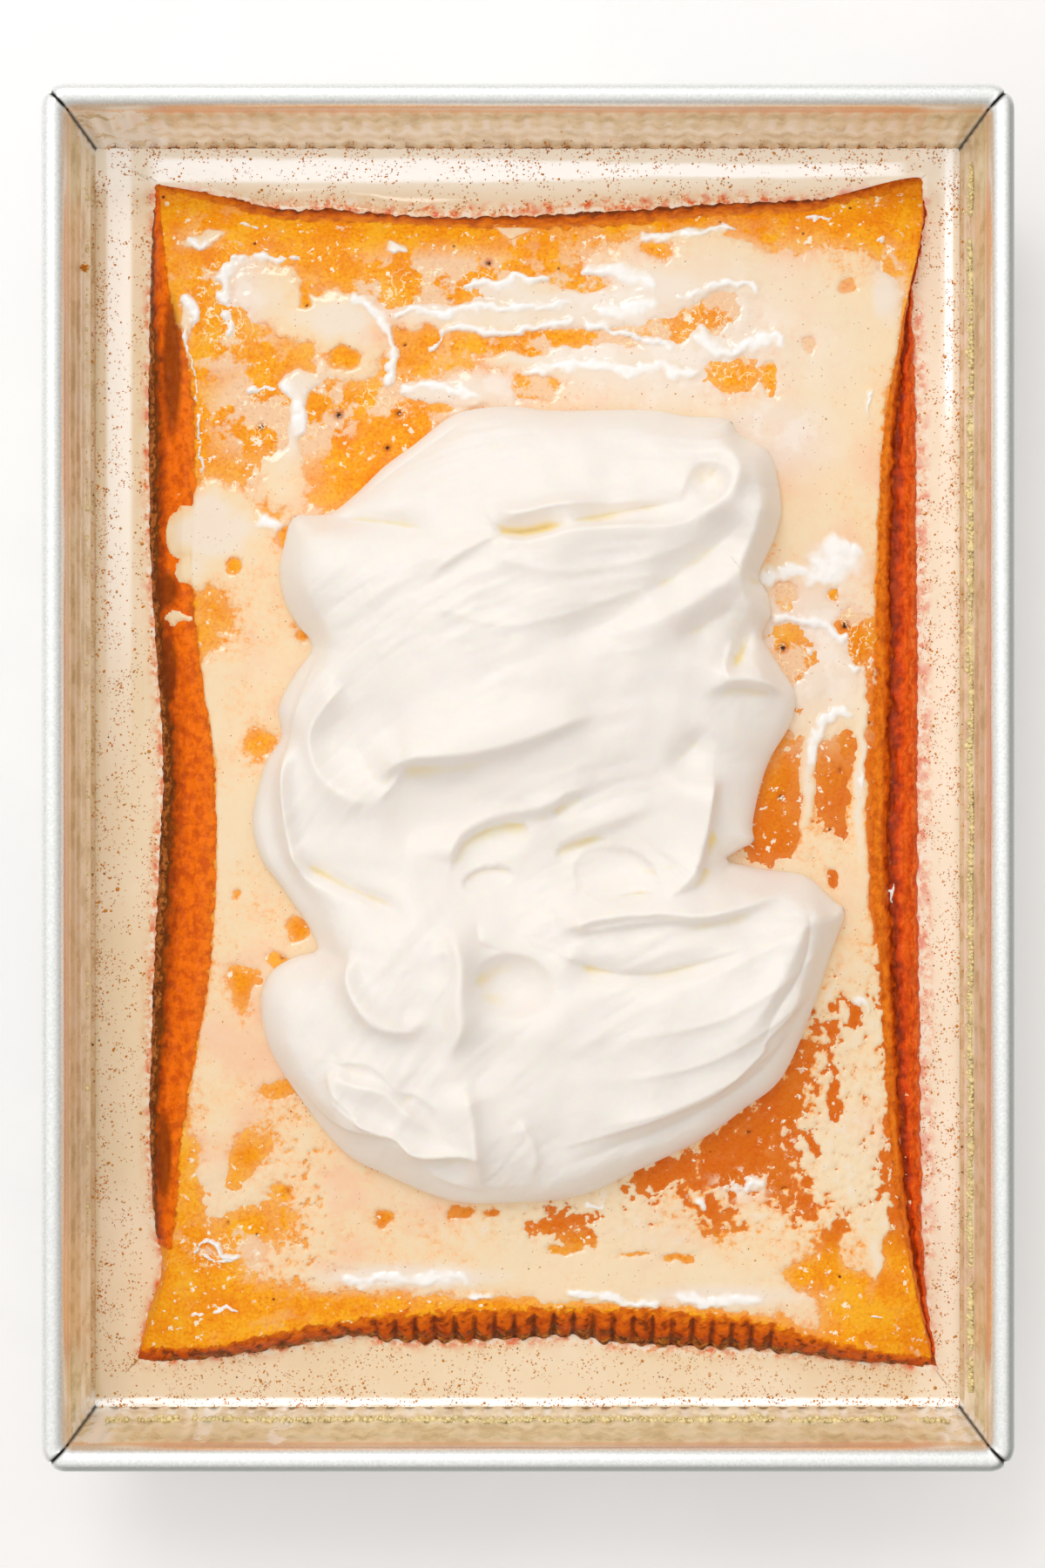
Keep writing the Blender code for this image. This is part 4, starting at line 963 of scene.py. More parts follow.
def film_cover(form, x, y, rolls):
    """How well milk covers the cake's top: over nothing where it does."""
    lumps = Lumps(23)
    bent_x = x + PATCH_BEND * lumps.layered(x, y + 50, PATCH_BEND_SIZE, layers=3)
    bent_y = y + PATCH_BEND * lumps.layered(x + 90, y, PATCH_BEND_SIZE, layers=3)
    bare = np.zeros(len(x))
    for patch in BARE_PATCHES:
        bare += np.exp(-AREA_FALL * ellipse_reach(bent_x, bent_y, *patch))
    cover = 1.0 - PATCH_DEPTH * np.minimum(bare, PATCH_MOST)
    for name, reach in FILM_EDGES.items():
        from_rim = form.inward(form.rim, name, x, y)
        cover -= FILM_EDGE_DEPTH * np.exp(-np.maximum(from_rim + 1.0, 0.0) / reach)
    for tip in form.tips:
        cover -= FILM_TIP_DEPTH * bell(np.hypot(x - tip[0], y - tip[1]), FILM_TIP_REACH)
    cover = np.maximum(cover, FILM_BAREST)
    for areas, change in ((FILM_ISLANDS, ISLAND_COVER), (FILM_HOLES, HOLE_COVER)):
        for area in areas:
            cover += change * np.exp(-0.9 * ellipse_reach(bent_x, bent_y, *area) ** 1.3)
    spots = lumps.layered(x + 150, y, SPOTS_SIZE, layers=4, gain=0.6)
    wedge = smooth_step((-8.0 - 0.2 * y - np.abs(x - SPOTS_MIDDLE)) / 12.0)
    cover -= smooth_step((spots - 0.3) / 0.4) * wedge
    cover += FILM_LACE * lumps.layered(x, y, FILM_LACE_SIZE, layers=6, gain=0.58)
    broken = near_right(x, y) * smooth_step((LACE_START - y) / LACE_FADE)
    cover += broken * (1.1 * lumps.layered(x + 30, y, 3.2, layers=4, gain=0.65) + 0.1)
    return cover + TONGUE_COVER * spread(bent_x, bent_y, MILK_TONGUES) + ROLL_COVER * rolls


def add_film(form):
    """The thin skin of milk that lies on the cake's top, with its bare patches left open."""
    x, y = drawn_square(form.sides(), *crowded_grid(FILM_CELLS)).T
    z, climb = form.height(x, y)
    rolls = film_rolls(x, y)
    cover = film_cover(form, x, y, rolls)
    steep = FILM_SHARPNESS * (1 + 0.7 * Lumps(27).at(x / 11, y / 11))
    depth = np.where(cover > 0, FILM_DEPTH * (1 - np.exp(-cover / steep)), cover * 1.2)
    on_side = (climb < 0.97) & (spread(x, y, MILK_TONGUES) < 0.4)
    depth = np.where(on_side, np.minimum(depth, -0.3), depth)
    rippled = 0.12 + 0.88 * spread(x, y, RIPPLED_AREAS)
    ripple = FILM_RIPPLE * rippled * Lumps(5).layered((x + 0.2 * y) / 2.5, y, RIPPLE_SIZE, layers=2)
    rise = (ripple + ROLL_HEIGHT * rolls) * smooth_step(cover / 0.5)
    places = np.column_stack((x, y, z + depth + rise))
    faces = grid_faces(FILM_CELLS[1] + 1, FILM_CELLS[0] + 1)
    gap, covered = form.from_cream(x, y)
    hidden = covered & (gap > FILM_UNDER_CREAM)
    shown = (depth[faces] > -FILM_FOOT).any(axis=1) & ~hidden[faces].all(axis=1)
    used, index = np.unique(faces[shown], return_inverse=True)
    fields = {"cover": cover[used], "roll": rolls[used], "rippled": rippled[used]}
    return mesh_object("milk_film", places[used], [index.reshape(-1, 4)], fields)


def cream_sides():
    """The heap's outline as four runs between its corners."""
    outline = even_loop(seen_from_above(CREAM_OUTLINE, CREAM_FOOT_LEVEL), OUTLINE_STEPS)
    corners = seen_from_above(CREAM_CORNERS, CREAM_FOOT_LEVEL)
    away = np.linalg.norm(outline[None] - corners[:, None], axis=2)
    near_left, near_right_end, far_right, far_left = away.argmin(axis=1)

    def run(first, last):
        count = (last - first) % OUTLINE_STEPS
        return outline[(first + np.arange(count + 1)) % OUTLINE_STEPS]

    near = run(near_right_end, near_left)[::-1]
    right = run(far_right, near_right_end)[::-1]
    return near, right, run(far_left, far_right), run(near_left, far_left)


def soft_distance(places, outline):
    """Distance to an evenly spaced outline, with its sharp turns evened out away from it."""
    spacing = np.linalg.norm(outline[1] - outline[0])
    total = np.zeros(len(places))
    for point in outline:
        away = places - point
        total += np.maximum((away**2).sum(axis=1), 0.04) ** -2.5
    return (0.75 * spacing * total) ** -0.25


def add_strokes(form, places, strokes, gain, fade_length, sharpness):
    """Raises the form along each tapering stroke, rounded for a high sharpness, creased for a low one."""
    for height, left, right, points in strokes:
        path = smooth_path(seen_from_above(points, CREAM_LEVEL), 6)
        reach = 4.0 * max(left, right)
        near = ((places > path.min(axis=0) - reach) & (places < path.max(axis=0) + reach)).all(axis=1)
        away, side, along, length = offset_from_path(places[near], path)
        taper = max(fade_length, STROKE_TAPER * length)
        fade = smooth_step((along + 1) / fade_length) * smooth_step((length + 1 - along) / taper)
        form[near] += gain * height * fade * bell(away, np.where(side > 0, left, right), sharpness)


def cream_thickness(places):
    """How thick the cream lies at each place: an edge that rounds over, swells, hollows, strokes."""
    x, y = places.T
    outline = even_loop(seen_from_above(CREAM_OUTLINE, CREAM_FOOT_LEVEL), OUTLINE_STEPS // 2)
    exact = offset_from_path(places, np.vstack((outline, outline[:1])))[0]
    inside = exact + smooth_step((exact - 1.0) / 3.0) * (soft_distance(places, outline) - exact)
    lumps = Lumps(31)
    edge_reach = CREAM_EDGE_REACH * (1 + 0.3 * lumps.at(x / CREAM_EDGE_WAVE, y / CREAM_EDGE_WAVE))
    steep = 1 - np.clip(inside / edge_reach, 0.0, 1.0)
    dome = CREAM_EDGE * np.sqrt(1 - steep**2) + CREAM_RISE * (1 - np.exp(-inside / CREAM_RISE_REACH))
    form = np.zeros(len(places))
    for middle, reach, height in CREAM_SWELLS:
        form = form + height * np.exp(-0.5 * ellipse_reach(x, y, middle, reach, 0, CREAM_LEVEL))
    for middle, half, turn, depth in CREAM_HOLLOWS:
        reach = ellipse_reach(x, y, middle, half, turn, CREAM_LEVEL)
        form = form - depth * ((1 + HOLLOW_LIP) * np.exp(-(reach**1.5)) - HOLLOW_LIP * np.exp(-reach / 2))
    for middle, half, turn, depth, lean, roundness in CREAM_CUPS:
        along, across = ellipse_shares(x, y, middle, half, turn, CREAM_LEVEL)
        bowl = np.clip(1 - along**2 - across**2, 0.0, 1.0) ** roundness
        form = form - depth * bowl * (1 - lean * (0.5 - 0.5 * across))
    add_strokes(form, places, CREAM_STROKES, STROKE_GAIN, STROKE_FADE, 1.5)
    add_strokes(form, places, CREAM_FOLDS, FOLD_GAIN, FOLD_FADE, 1.0)
    form = form + SOFT_LUMP * lumps.layered(x + 50, y, SOFT_LUMP_SIZE, layers=2)
    turn = math.radians(CREAM_STREAK_ANGLE)
    run = x * math.cos(turn) + y * math.sin(turn)
    cross = y * math.cos(turn) - x * math.sin(turn)
    calm = smooth_step(0.5 + lumps.at(x / CREAM_CALM_SIZE + 9, y / CREAM_CALM_SIZE))
    streak = lumps.layered(run / 6, cross + 0.004 * run**2, CREAM_STREAK_SIZE, layers=3)
    grain = CREAM_GRAIN * lumps.layered(x, y, CREAM_GRAIN_SIZE, layers=3)
    relief = (form + CREAM_STREAK * calm * streak + grain) * smooth_step((inside - 0.5) / PLAIN_EDGE)
    over = np.maximum(dome + relief, 0.6 * dome) - CREAM_CEILING
    return CREAM_CEILING + 0.5 * (over - np.sqrt(over**2 + CREAM_CEILING_EASE**2))


def blurred(field, passes):
    """A grid of values, each pass evened out with its neighbours."""
    for _ in range(passes):
        for axis in (0, 1):
            field = 0.5 * field + 0.25 * (np.roll(field, 1, axis) + np.roll(field, -1, axis))
    return field


def add_cream():
    """The heap: a grid drawn out to its outline, raised by its thickness and tucked under its edge."""
    places = drawn_square(cream_sides(), *crowded_grid(CREAM_CELLS))
    thickness = cream_thickness(places)
    top = np.column_stack((places, CAKE_TOP + CREAM_TUCK + thickness))
    edge = places[rim_loop(CREAM_CELLS)]
    outward = loop_outward(edge)
    lower = [at_level(edge - outward * inset, CAKE_TOP + rise) for inset, rise in CREAM_FOOT_RINGS]
    form = thickness.reshape(CREAM_CELLS[1] + 1, CREAM_CELLS[0] + 1)
    # Painted shade: the cream is tinted yellow where it lies deeper than round about
    crease = np.clip((blurred(form, 14) - form - CREASE_START) / CREASE_DEPTH, 0.0, 1.0).ravel()
    return closed_body("cream_heap", top, CREAM_CELLS, lower, {"crease": crease})


def wall_inner_half(height):
    """Half the pan's inner width and length at this height: the walls lean out a little."""
    lean = WALL_DRAFT * (1 - height / PAN_HEIGHT)
    return PAN_WIDTH / 2 - WALL_INSET - lean, PAN_LENGTH / 2 - WALL_INSET - lean


def side_steps(count, length):
    """Places along a side, from -1 to 1, with close ones by both corners."""
    close = np.array(CORNER_STEPS) / (length / 2)
    middle = np.linspace(-1, 1, count)[1:-1]
    middle = middle[np.abs(middle) < 1 - close[-1] - 0.5 / count]
    return np.concatenate((close - 1, middle, (1 - close)[::-1]))


def pan_perimeter():
    """Once round the pan: where each point sits on the straight sides and which way it faces."""
    steps = [side_steps(count, length) for count, length in zip(WALL_STEPS, (PAN_WIDTH, PAN_LENGTH))]
    base = []
    facing = []
    for turn, (corner_x, corner_y) in enumerate(((1, 1), (-1, 1), (-1, -1), (1, -1))):
        for angle in np.linspace(0, 90, 11):
            radians = math.radians(90 * turn + angle)
            base.append((corner_x, corner_y))
            facing.append((math.cos(radians), math.sin(radians)))
        for step in steps[turn % 2]:
            base.append([(-step, 1), (-1, -step), (step, -1), (1, step)][turn])
            facing.append([(0, 1), (-1, 0), (0, -1), (1, 0)][turn])
    return np.array(base, float), np.array(facing, float)


def pan_section():
    """The sheet in section: up the inner wall, over the bead, down the outer wall and under.

    Each row is how far out it is from the wall's inner top, its height, how much of the corner seam
    it shows, and whether it carries flutes, whether it is inside and whether it is on the bead.
    """
    rows = []

    def add(outs, heights, *marks):
        rows.extend((out, height, *marks) for out, height in zip(outs, heights))

    def arc(middle, radius, first, last, count):
        radians = np.radians(np.linspace(first, last, count))
        return middle[0] + radius * np.cos(radians), middle[1] + radius * np.sin(radians)

    inner = np.concatenate(([CAKE_BOTTOM, 8.0, 14.0], np.arange(17.0, WALL_TOP, 0.7)))
    outer = np.arange(50.0, FOLD_RADIUS, -0.9)
    bead_middle = (WALL_INSET - BEAD_RADIUS, PAN_HEIGHT - BEAD_RADIUS)
    fold_middle = (SHEET - WALL_DRAFT - FOLD_RADIUS, FOLD_RADIUS)
    add(-WALL_DRAFT * (1 - inner / PAN_HEIGHT), inner, 0.5, 1, 1, 0)
    add(*arc(bead_middle, BEAD_RADIUS, *BEAD_TURN, 26), 1.0, 0, 0, 1)
    add(SHEET - WALL_DRAFT * (1 - outer / PAN_HEIGHT), outer, 0.3, 1, 0, 0)
    add(*arc(fold_middle, FOLD_RADIUS, 0, -90, 7), 0.0, 0, 0, 0)
    add((PAN_LIP, PAN_LIP), (0.0, SHEET), 0.0, 0, 0, 0)
    return np.array(rows).T[:, :, None]


def add_pan():
    """The folded sheet with its rolled bead, fluted along the pan's length, seamed at the corners."""
    base, facing = pan_perimeter()
    out, level, seamed, fluted, inner, bead = pan_section()
    half = np.array((PAN_WIDTH / 2 - WALL_INSET, PAN_LENGTH / 2 - WALL_INSET))
    radius = np.maximum(PAN_CORNER + PAN_CORNER_GROWTH * out, 0.2)
    x, y = (base[:, axis] * (half[axis] + out - radius) for axis in (0, 1))
    height = np.broadcast_to(level, x.shape)
    on_short, on_long = (np.abs(facing[:, axis]) > 0.999 for axis in (1, 0))
    clear = smooth_step((half[0] - np.abs(x)) / FLUTE_END) * on_short
    clear = clear + smooth_step((half[1] - np.abs(y)) / FLUTE_END) * on_long
    clear = clear * within(level, *FLUTED_LEVELS, 3.0) * fluted
    wave = np.cos(2 * math.pi * np.where(on_short, x, height) / FLUTE_PITCH)
    from_x = half[0] - np.abs(x + facing[:, 0] * radius)
    from_y = half[1] - np.abs(y + facing[:, 1] * radius)
    seam = bell(np.abs(from_x - from_y) / math.sqrt(2), SEAM_REACH)
    push = radius + FLUTE_HEIGHT * wave * clear - SEAM_DEPTH * seam * seamed
    x, y = x + facing[:, 0] * push, y + facing[:, 1] * push
    band = (height - MILK_LEVEL) / (PAN_HEIGHT - 2 * BEAD_RADIUS - MILK_LEVEL)
    band = band + BAND_WAVE * Lumps(71).layered(x, y, BAND_WAVE_SIZE, layers=3)
    low, high = (np.where(y < 0, near_end, far_end) for near_end, far_end in FLUTE_HIGHLIGHT_BANDS)
    # Painted highlights along the crests of the short walls' flutes
    crest = smooth_step((wave - 0.1) / 0.6) * clear * inner * within(band, low, high, 0.08) * on_short
    lean = bead * (out - WALL_INSET + BEAD_RADIUS) / BEAD_RADIUS
    shaded = np.clip(lean * (facing @ SHADED_WAY), 0.0, 1.0)
    fields = {
        "inner": np.broadcast_to(inner, x.shape),
        "level": height,
        "seam": seam,
        "residue": inner * spread(x, y, RESIDUE_AREAS, RESIDUE_LEVEL),
        "band": band,
        "crest": crest,
        "shaded": np.where(lean > 0, shaded, INNER_SHADE * shaded),
    }
    faces = grid_faces(*x.shape, closed_rows=True, closed_columns=True)
    places = np.column_stack((x.ravel(), y.ravel(), height.ravel()))
    return mesh_object("pan_sheet", places, [faces[:, ::-1]], fields)


def add_pan_floor():
    """The ribbed plate that closes the pan's base."""
    half_x, half_y = (size - FLOOR_INSET for size in wall_inner_half(0.0))
    x = np.linspace(-half_x, half_x, 300)
    under = FLOOR_UNDERSIDE + FLOOR_RIB * np.cos(2 * math.pi * x / FLUTE_PITCH)
    section_x = np.concatenate((x, x[::-1]))
    section_z = np.concatenate((under, np.full(len(x), SHEET - FLOOR_SETBACK)))
    count = len(section_x)
    ends = [np.column_stack((section_x, np.full(count, y), section_z)) for y in (-half_y, half_y)]
    faces = grid_faces(2, count, closed_columns=True)
    caps = np.vstack((np.arange(count)[::-1], np.arange(count) + count))
    return mesh_object("pan_floor", np.vstack(ends), [faces, caps[:, ::-1]])


def pool_gaps(form, x, y):
    """How far each place is from the nearest wall and from the cake, and whether it is on the cake."""
    near_wall = 1.0
    for half, part in zip(wall_inner_half(MILK_LEVEL), (x, y)):
        near_wall = near_wall * (1 - np.exp(-np.maximum(half - np.abs(part), 0.0) / MENISCUS_REACH))
    wall_gap = -MENISCUS_REACH * np.log(np.maximum(1 - near_wall, 1e-12))
    inward = {name: form.inward(form.foot, name, x, y) for name in form.foot}
    beyond_x = -np.minimum(inward["left"], inward["right"])
    beyond_y = -np.minimum(inward["near"], inward["far"])
    cake_gap = np.hypot(np.maximum(beyond_x, 0.0), np.maximum(beyond_y, 0.0))
    return wall_gap, cake_gap, (beyond_x < 0) & (beyond_y < 0)


def pool_height(wall_gap, cake_gap):
    """The milk's level, drawn up a little at the wall and at the cake."""
    wall = MENISCUS * np.exp(-wall_gap / MENISCUS_REACH)
    cake = CAKE_MENISCUS * np.exp(-cake_gap / CAKE_MENISCUS_REACH)
    return MILK_LEVEL + wall + cake


def pool_light(x, y, wave):
    """How pale the milk is painted: painted highlights in streaks, and a paler band by the right wall."""
    half_x, half_y = wall_inner_half(MILK_LEVEL)

    def streak(gap, middle, half_width, power, amount):
        return amount * bell(gap - middle, half_width, power)

    far_half = FAR_STREAK[1] - FAR_STREAK_THINNER * smooth_step((x + 20.0) / 60.0)
    far = streak(half_y - y + 0.6 * wave, FAR_STREAK[0], far_half, *FAR_STREAK[2:])
    pale = far * smooth_step((FAR_STREAK_END - np.abs(x)) / 5.0)
    pale = pale + streak(half_x + x, *LEFT_STREAK) * smooth_step((y + 20.0) / 120.0)
    right = streak(half_x - x + 0.5 * wave, *RIGHT_STREAK)
    pale = pale + right * (0.2 + 0.8 * smooth_step((y - 60.0) / 60.0))
    pale = pale + 0.2 * smooth_step((PALE_RIM - (half_x - x)) / 4.0)
    pale = pale + streak(half_x - x, *FAR_RIGHT_STREAK) * smooth_step((y - 90.0) / 20.0)
    return np.clip(pale + streak(half_y + y + 0.5 * wave, *NEAR_STREAK), 0.0, 1.0)


def pool_shows(x, y, cake_gap, lumps):
    """How much of the cake's crumb shows in the milk beside it, with a painted reflection of its right
    side.
    """
    from_far_wall = wall_inner_half(MILK_LEVEL)[1] - y
    shows = 0.9 * np.exp(-cake_gap)
    beside = bell(cake_gap, SIDE_REFLECTION, 4) * (x > 60) * (np.abs(y) < SIDE_REFLECTION_END)
    shows = np.maximum(shows, 0.95 * beside)
    flutes = (y > 0) & (x > FAR_FLUTES[0]) & (x < FAR_FLUTES[1]) & (from_far_wall < FAR_REFLECTION)
    dash = 0.5 + 0.5 * np.cos(2 * math.pi * x / FLUTE_PITCH)
    shows = shows + flutes * dash * bell(cake_gap - 1.6, 1.3)
    return np.clip(shows * (0.75 + 0.6 * lumps.layered(x, y, 3.0)), 0.0, 1.0)


def add_pool(form):
    """The milk round the cake, a ring that reaches from the cake's foot to the wall."""
    half_x, half_y = wall_inner_half(MILK_LEVEL)
    corners = np.array([(-half_x, -half_y), (half_x, -half_y), (half_x, half_y), (-half_x, half_y)])
    u, v = (np.linspace(0, 1, count, endpoint=False) for count in POOL_CELLS)

    def round_trip(near, right, far, left):
        runs = ((near, u), (right, v), (far, 1 - u), (left, 1 - v))
        return np.vstack([along_run(run, shares) for run, shares in runs])

    wall = round_trip(*(corners[[first, last]] for first, last in ((0, 1), (1, 2), (3, 2), (0, 3))))
    foot = round_trip(*form.sides())
    foot = foot - POOL_UNDER_CAKE * loop_outward(foot)
    share = 0.5 - 0.5 * np.cos(math.pi * np.linspace(0, 1, POOL_RINGS))
    surface = np.vstack([foot + (wall - foot) * part for part in share])
    x, y = surface.T
    wall_gap, cake_gap, _ = pool_gaps(form, x, y)
    level = pool_height(wall_gap, cake_gap) + POOL_WAVE * Lumps(41).layered(x, y, POOL_WAVE_SIZE, layers=2)
    lumps = Lumps(43)
    fields = {
        "pale": pool_light(x, y, 0.5 * lumps.layered(x, y, 12.0, layers=3)),
        # Painted light: the milk by the far wall is painted brighter, against the shade that the wall casts
        "bright": 0.9 * smooth_step((PALE_RIM - (half_y - y)) / 6.0),
        "shows": pool_shows(x, y, cake_gap, lumps),
        "wall_gap": wall_gap,
    }
    lower_wall = wall * (1 - POOL_FOOT_INSET / np.array((half_x, half_y)))
    lower = [at_level(ring, POOL_FOOT_LEVEL) for ring in (lower_wall, foot)]
    fields = {key: np.concatenate((values, np.zeros(2 * len(wall)))) for key, values in fields.items()}
    faces = grid_faces(POOL_RINGS + 2, len(wall), closed_rows=True, closed_columns=True)
    places = np.vstack([np.column_stack((surface, level))] + lower)
    return mesh_object("milk_pool", places, [faces[:, ::-1]], fields)


def add_flecks(name, places, sizes, rng):
    """Flat flecks, each a squashed lump with a six-sided outline, turned its own way."""
    angles = np.radians(60.0 * np.arange(6))
    ring = np.column_stack((np.cos(angles), np.sin(angles), np.zeros(6)))
    shape = np.vstack((ring, [(0, 0, 0.5), (0, 0, -0.5)]))
    here = np.arange(6)
    after = (here + 1) % 6
    upper = np.column_stack((here, after, np.full(6, 6)))
    lower = np.column_stack((after, here, np.full(6, 7)))
    faces = np.vstack((upper, lower))
    turn = rng.uniform(0, 2 * math.pi, len(places))
    stretch = rng.uniform(0.6, 1.0, len(places))
    local = shape[None] * sizes[:, None, None]
    local[:, :, 1] *= stretch[:, None]
    cos, sin = np.cos(turn)[:, None], np.sin(turn)[:, None]
    x = local[:, :, 0] * cos - local[:, :, 1] * sin
    y = local[:, :, 0] * sin + local[:, :, 1] * cos
    corners = np.stack((x, y, local[:, :, 2]), axis=2) + places[:, None]
    index = faces[None] + 8 * np.arange(len(places))[:, None, None]
    return mesh_object(name, corners.reshape(-1, 3), [index.reshape(-1, 3)])


def pool_places(form, count, rng):
    """Random places on the pool, crowding towards the wall and in clusters."""
    x, y = (rng.uniform(-half, half, count * 40) for half in wall_inner_half(MILK_LEVEL))
    gap, cake_gap, on_cake = pool_gaps(form, x, y)
    clusters = np.clip(0.6 + 1.2 * Lumps(47).layered(x, y, 7.0, layers=3), 0.1, 1.4)
    wanted = clusters * (0.22 + 0.6 * np.exp(-gap / CINNAMON_CROWDING))
    keep = ~on_cake & (rng.uniform(0, 1, len(x)) < wanted)
    places = np.column_stack((x, y, pool_height(gap, cake_gap) + 0.05))
    return places[keep][:count]


def film_places(form, count, rng):
    """Random places on the film of milk."""
    u, v = rng.uniform(0.02, 0.98, (2, count * 5))
    x, y = drawn_square(form.sides(), u, v).T
    z, climb = form.height(x, y)
    cover = film_cover(form, x, y, 0.0)
    keep = (cover > 0.1) & (climb > 0.97) & ~inside_loop(x, y, form.cream_edge)
    depth = FILM_DEPTH * (1 - np.exp(-cover / FILM_SHARPNESS))
    return np.column_stack((x, y, z + depth + 0.02))[keep][:count]


def wall_places(count, rng):
    """Random places on the walls just above the milk: two in five left, two far, one right."""
    along = rng.uniform(-0.97, 0.97, count)
    height = MILK_LEVEL + 0.8 + rng.exponential(CINNAMON_CLIMB, count)
    half_x, half_y = wall_inner_half(height)
    turn = np.arange(count) % 5
    x = np.select([turn < 2, turn < 4], [0.1 - half_x, along * half_x], half_x - 0.1)
    y = np.where((turn < 2) | (turn == 4), along * half_y, half_y - 0.1)
    return np.column_stack((x, y, height))


def add_cinnamon(form):
    """Ground cinnamon: bright flecks and dark ones, on the pool, the walls and the film."""
    rng = np.random.default_rng(7)
    pieces = []
    for name, (on_pool, on_wall, on_film, size) in CINNAMON.items():
        spots = [pool_places(form, on_pool, rng), wall_places(on_wall, rng)]
        spots.append(film_places(form, on_film, rng))
        if not pieces:
            crumb = at_level(seen_from_above([ORANGE_CRUMB], ORANGE_CRUMB_LEVEL), ORANGE_CRUMB_LEVEL)
            spots.insert(0, crumb + rng.normal(0.0, 0.45, (ORANGE_CRUMB_GRAINS, 3)))
        places = np.vstack(spots)
        sizes = size * rng.lognormal(0.0, 0.35, len(places))
        sizes[-len(spots[-1]) :] *= FILM_FLECK_SHARE
        pieces.append(add_flecks(name, places, sizes, rng))
    return pieces


def add_wall_crumbs():
    """Dried batter that sticks in a line along the right wall and the near one, little on the left."""
    rng = np.random.default_rng(19)
    along = rng.uniform(-0.95, 0.95, CRUMB_COUNT)
    lumps = Lumps(61)
    kept = lumps.layered(along * 40, along * 0.0 + 3.5, 4.0) + rng.normal(0.0, 0.2, len(along)) > -0.4
    along = along[kept]
    height = CRUMB_LINE + 1.2 * lumps.layered(along * 60, along * 0.0, 9.0)
    height = height + rng.normal(0.0, 0.35, len(along))
    shares, drops = zip(*CRUMB_WALLS.values())
    wall = rng.choice(len(shares), len(along), p=shares)
    height = height - np.array(drops)[wall]
    half_x, half_y = wall_inner_half(height)
    inset = 0.15 + rng.exponential(0.25, len(along))
    x = np.select([wall == 0, wall == 2], [half_x - inset, inset - half_x], along * half_x)
    y = np.where(wall == 1, inset - half_y, along * half_y)
    sizes = WALL_CRUMB_SIZE * rng.lognormal(0.0, 0.4, len(along))
    return add_flecks("wall_crumbs", np.column_stack((x, y, height)), sizes, rng)


def linear(colour, share=1.0):
    """A colour as it shows on screen, in 0 to 255, as the shader takes it; dimmed to a share."""
    values = np.array(colour) / 255.0
    values = np.where(values <= 0.04045, values / 12.92, ((values + 0.055) / 1.055) ** 2.4)
    return (*(share * values), 1.0)


class NodeTree:
    """Adds nodes to a node tree.

    A source is the name of a value on the mesh, or noise as (lumps to the metre, detail,
    roughness), or a node's output. A mask is (source, where it is 0, where it is 1), and may end
    with how much it then gives there, and how much instead of 0.
    """

    def __init__(self, tree):
        self.tree = tree

    def fill(self, sockets, values):
        for key, value in values.items():
            if isinstance(value, bpy.types.NodeSocket):
                self.tree.links.new(value, sockets[key])
            else:
                sockets[key].default_value = value

    def node(self, kind, inputs=None, **settings):
        node = self.tree.nodes.new(kind)
        for key, value in settings.items():
            setattr(node, key, value)
        self.fill(node.inputs, inputs or {})
        return node

    def source(self, source):
        if isinstance(source, str):
            return self.node("ShaderNodeAttribute", attribute_name=source).outputs["Fac"]
        if isinstance(source, tuple):
            place = self.node("ShaderNodeTexCoord").outputs["Object"]
            inputs = dict(zip(("Scale", "Detail", "Roughness"), source), Vector=place)
            return self.node("ShaderNodeTexNoise", inputs).outputs["Fac"]
        return source

    def cells(self, scale):
        """The distance to the middle of the nearest of scattered cells, this many to the metre."""
        place = self.node("ShaderNodeTexCoord").outputs["Object"]
        return self.node("ShaderNodeTexVoronoi", {"Vector": place, "Scale": scale}).outputs["Distance"]

    def mask(self, *masks):
        """The product of masks."""
        product = None
        for source, none, full, *ends in masks:
            most, least = ends + [1.0, 0.0][len(ends) :]
            limits = {"From Min": none, "From Max": full, "To Min": least, "To Max": most}
            node = self.node("ShaderNodeMapRange", {"Value": self.source(source), **limits})
            value = node.outputs["Result"]
            if product is not None:
                value = self.node("ShaderNodeMath", {0: product, 1: value}, operation="MULTIPLY").outputs[0]
            product = value
        return product

    def ramp(self, source, stops):
        """Colours by a source: stops are (place, colour), on screen or as the shader takes it."""
        node = self.node("ShaderNodeValToRGB", {"Fac": self.source(source)})
        elements = node.color_ramp.elements
        while len(elements) < len(stops):
            elements.new(0.5)
        for element, (place, colour) in zip(elements, stops):
            element.position = place
            element.color = colour if len(colour) == 4 else linear(colour)
        return node.outputs["Color"]

    def mix(self, factor, first, second, blend="MIX"):
        inputs = {0: factor, 6: first, 7: second}
        return self.node("ShaderNodeMix", inputs, data_type="RGBA", blend_type=blend).outputs[2]


class Paint(NodeTree):
    """A material whose colour is laid on in layers."""

    def __init__(self, name, colour, roughness, metallic=0.0):
        self.material = bpy.data.materials.new(name)
        self.material.use_nodes = True
        super().__init__(self.material.node_tree)
        self.shader = self.tree.nodes["Principled BSDF"]
        self.set({"Base Color": linear(colour), "Roughness": roughness, "Metallic": metallic})

    def set(self, values):
        self.fill(self.shader.inputs, values)

    def lay(self, colour, *masks, share=None, blend="MIX"):
        """Lays a colour over what is there, where the masks let it, or everywhere by this share."""
        colour = linear(colour) if isinstance(colour, tuple) else colour
        factor = self.mask(*masks) if masks else share
        self.colour = self.mix(factor, self.colour, colour, blend)

    def bump(self, source, strength, distance):
        inputs = {"Height": self.source(source), "Strength": strength, "Distance": distance}
        self.set({"Normal": self.node("ShaderNodeBump", inputs).outputs["Normal"]})

    def finish(self):
        self.set({"Base Color": self.colour})
        return self.material
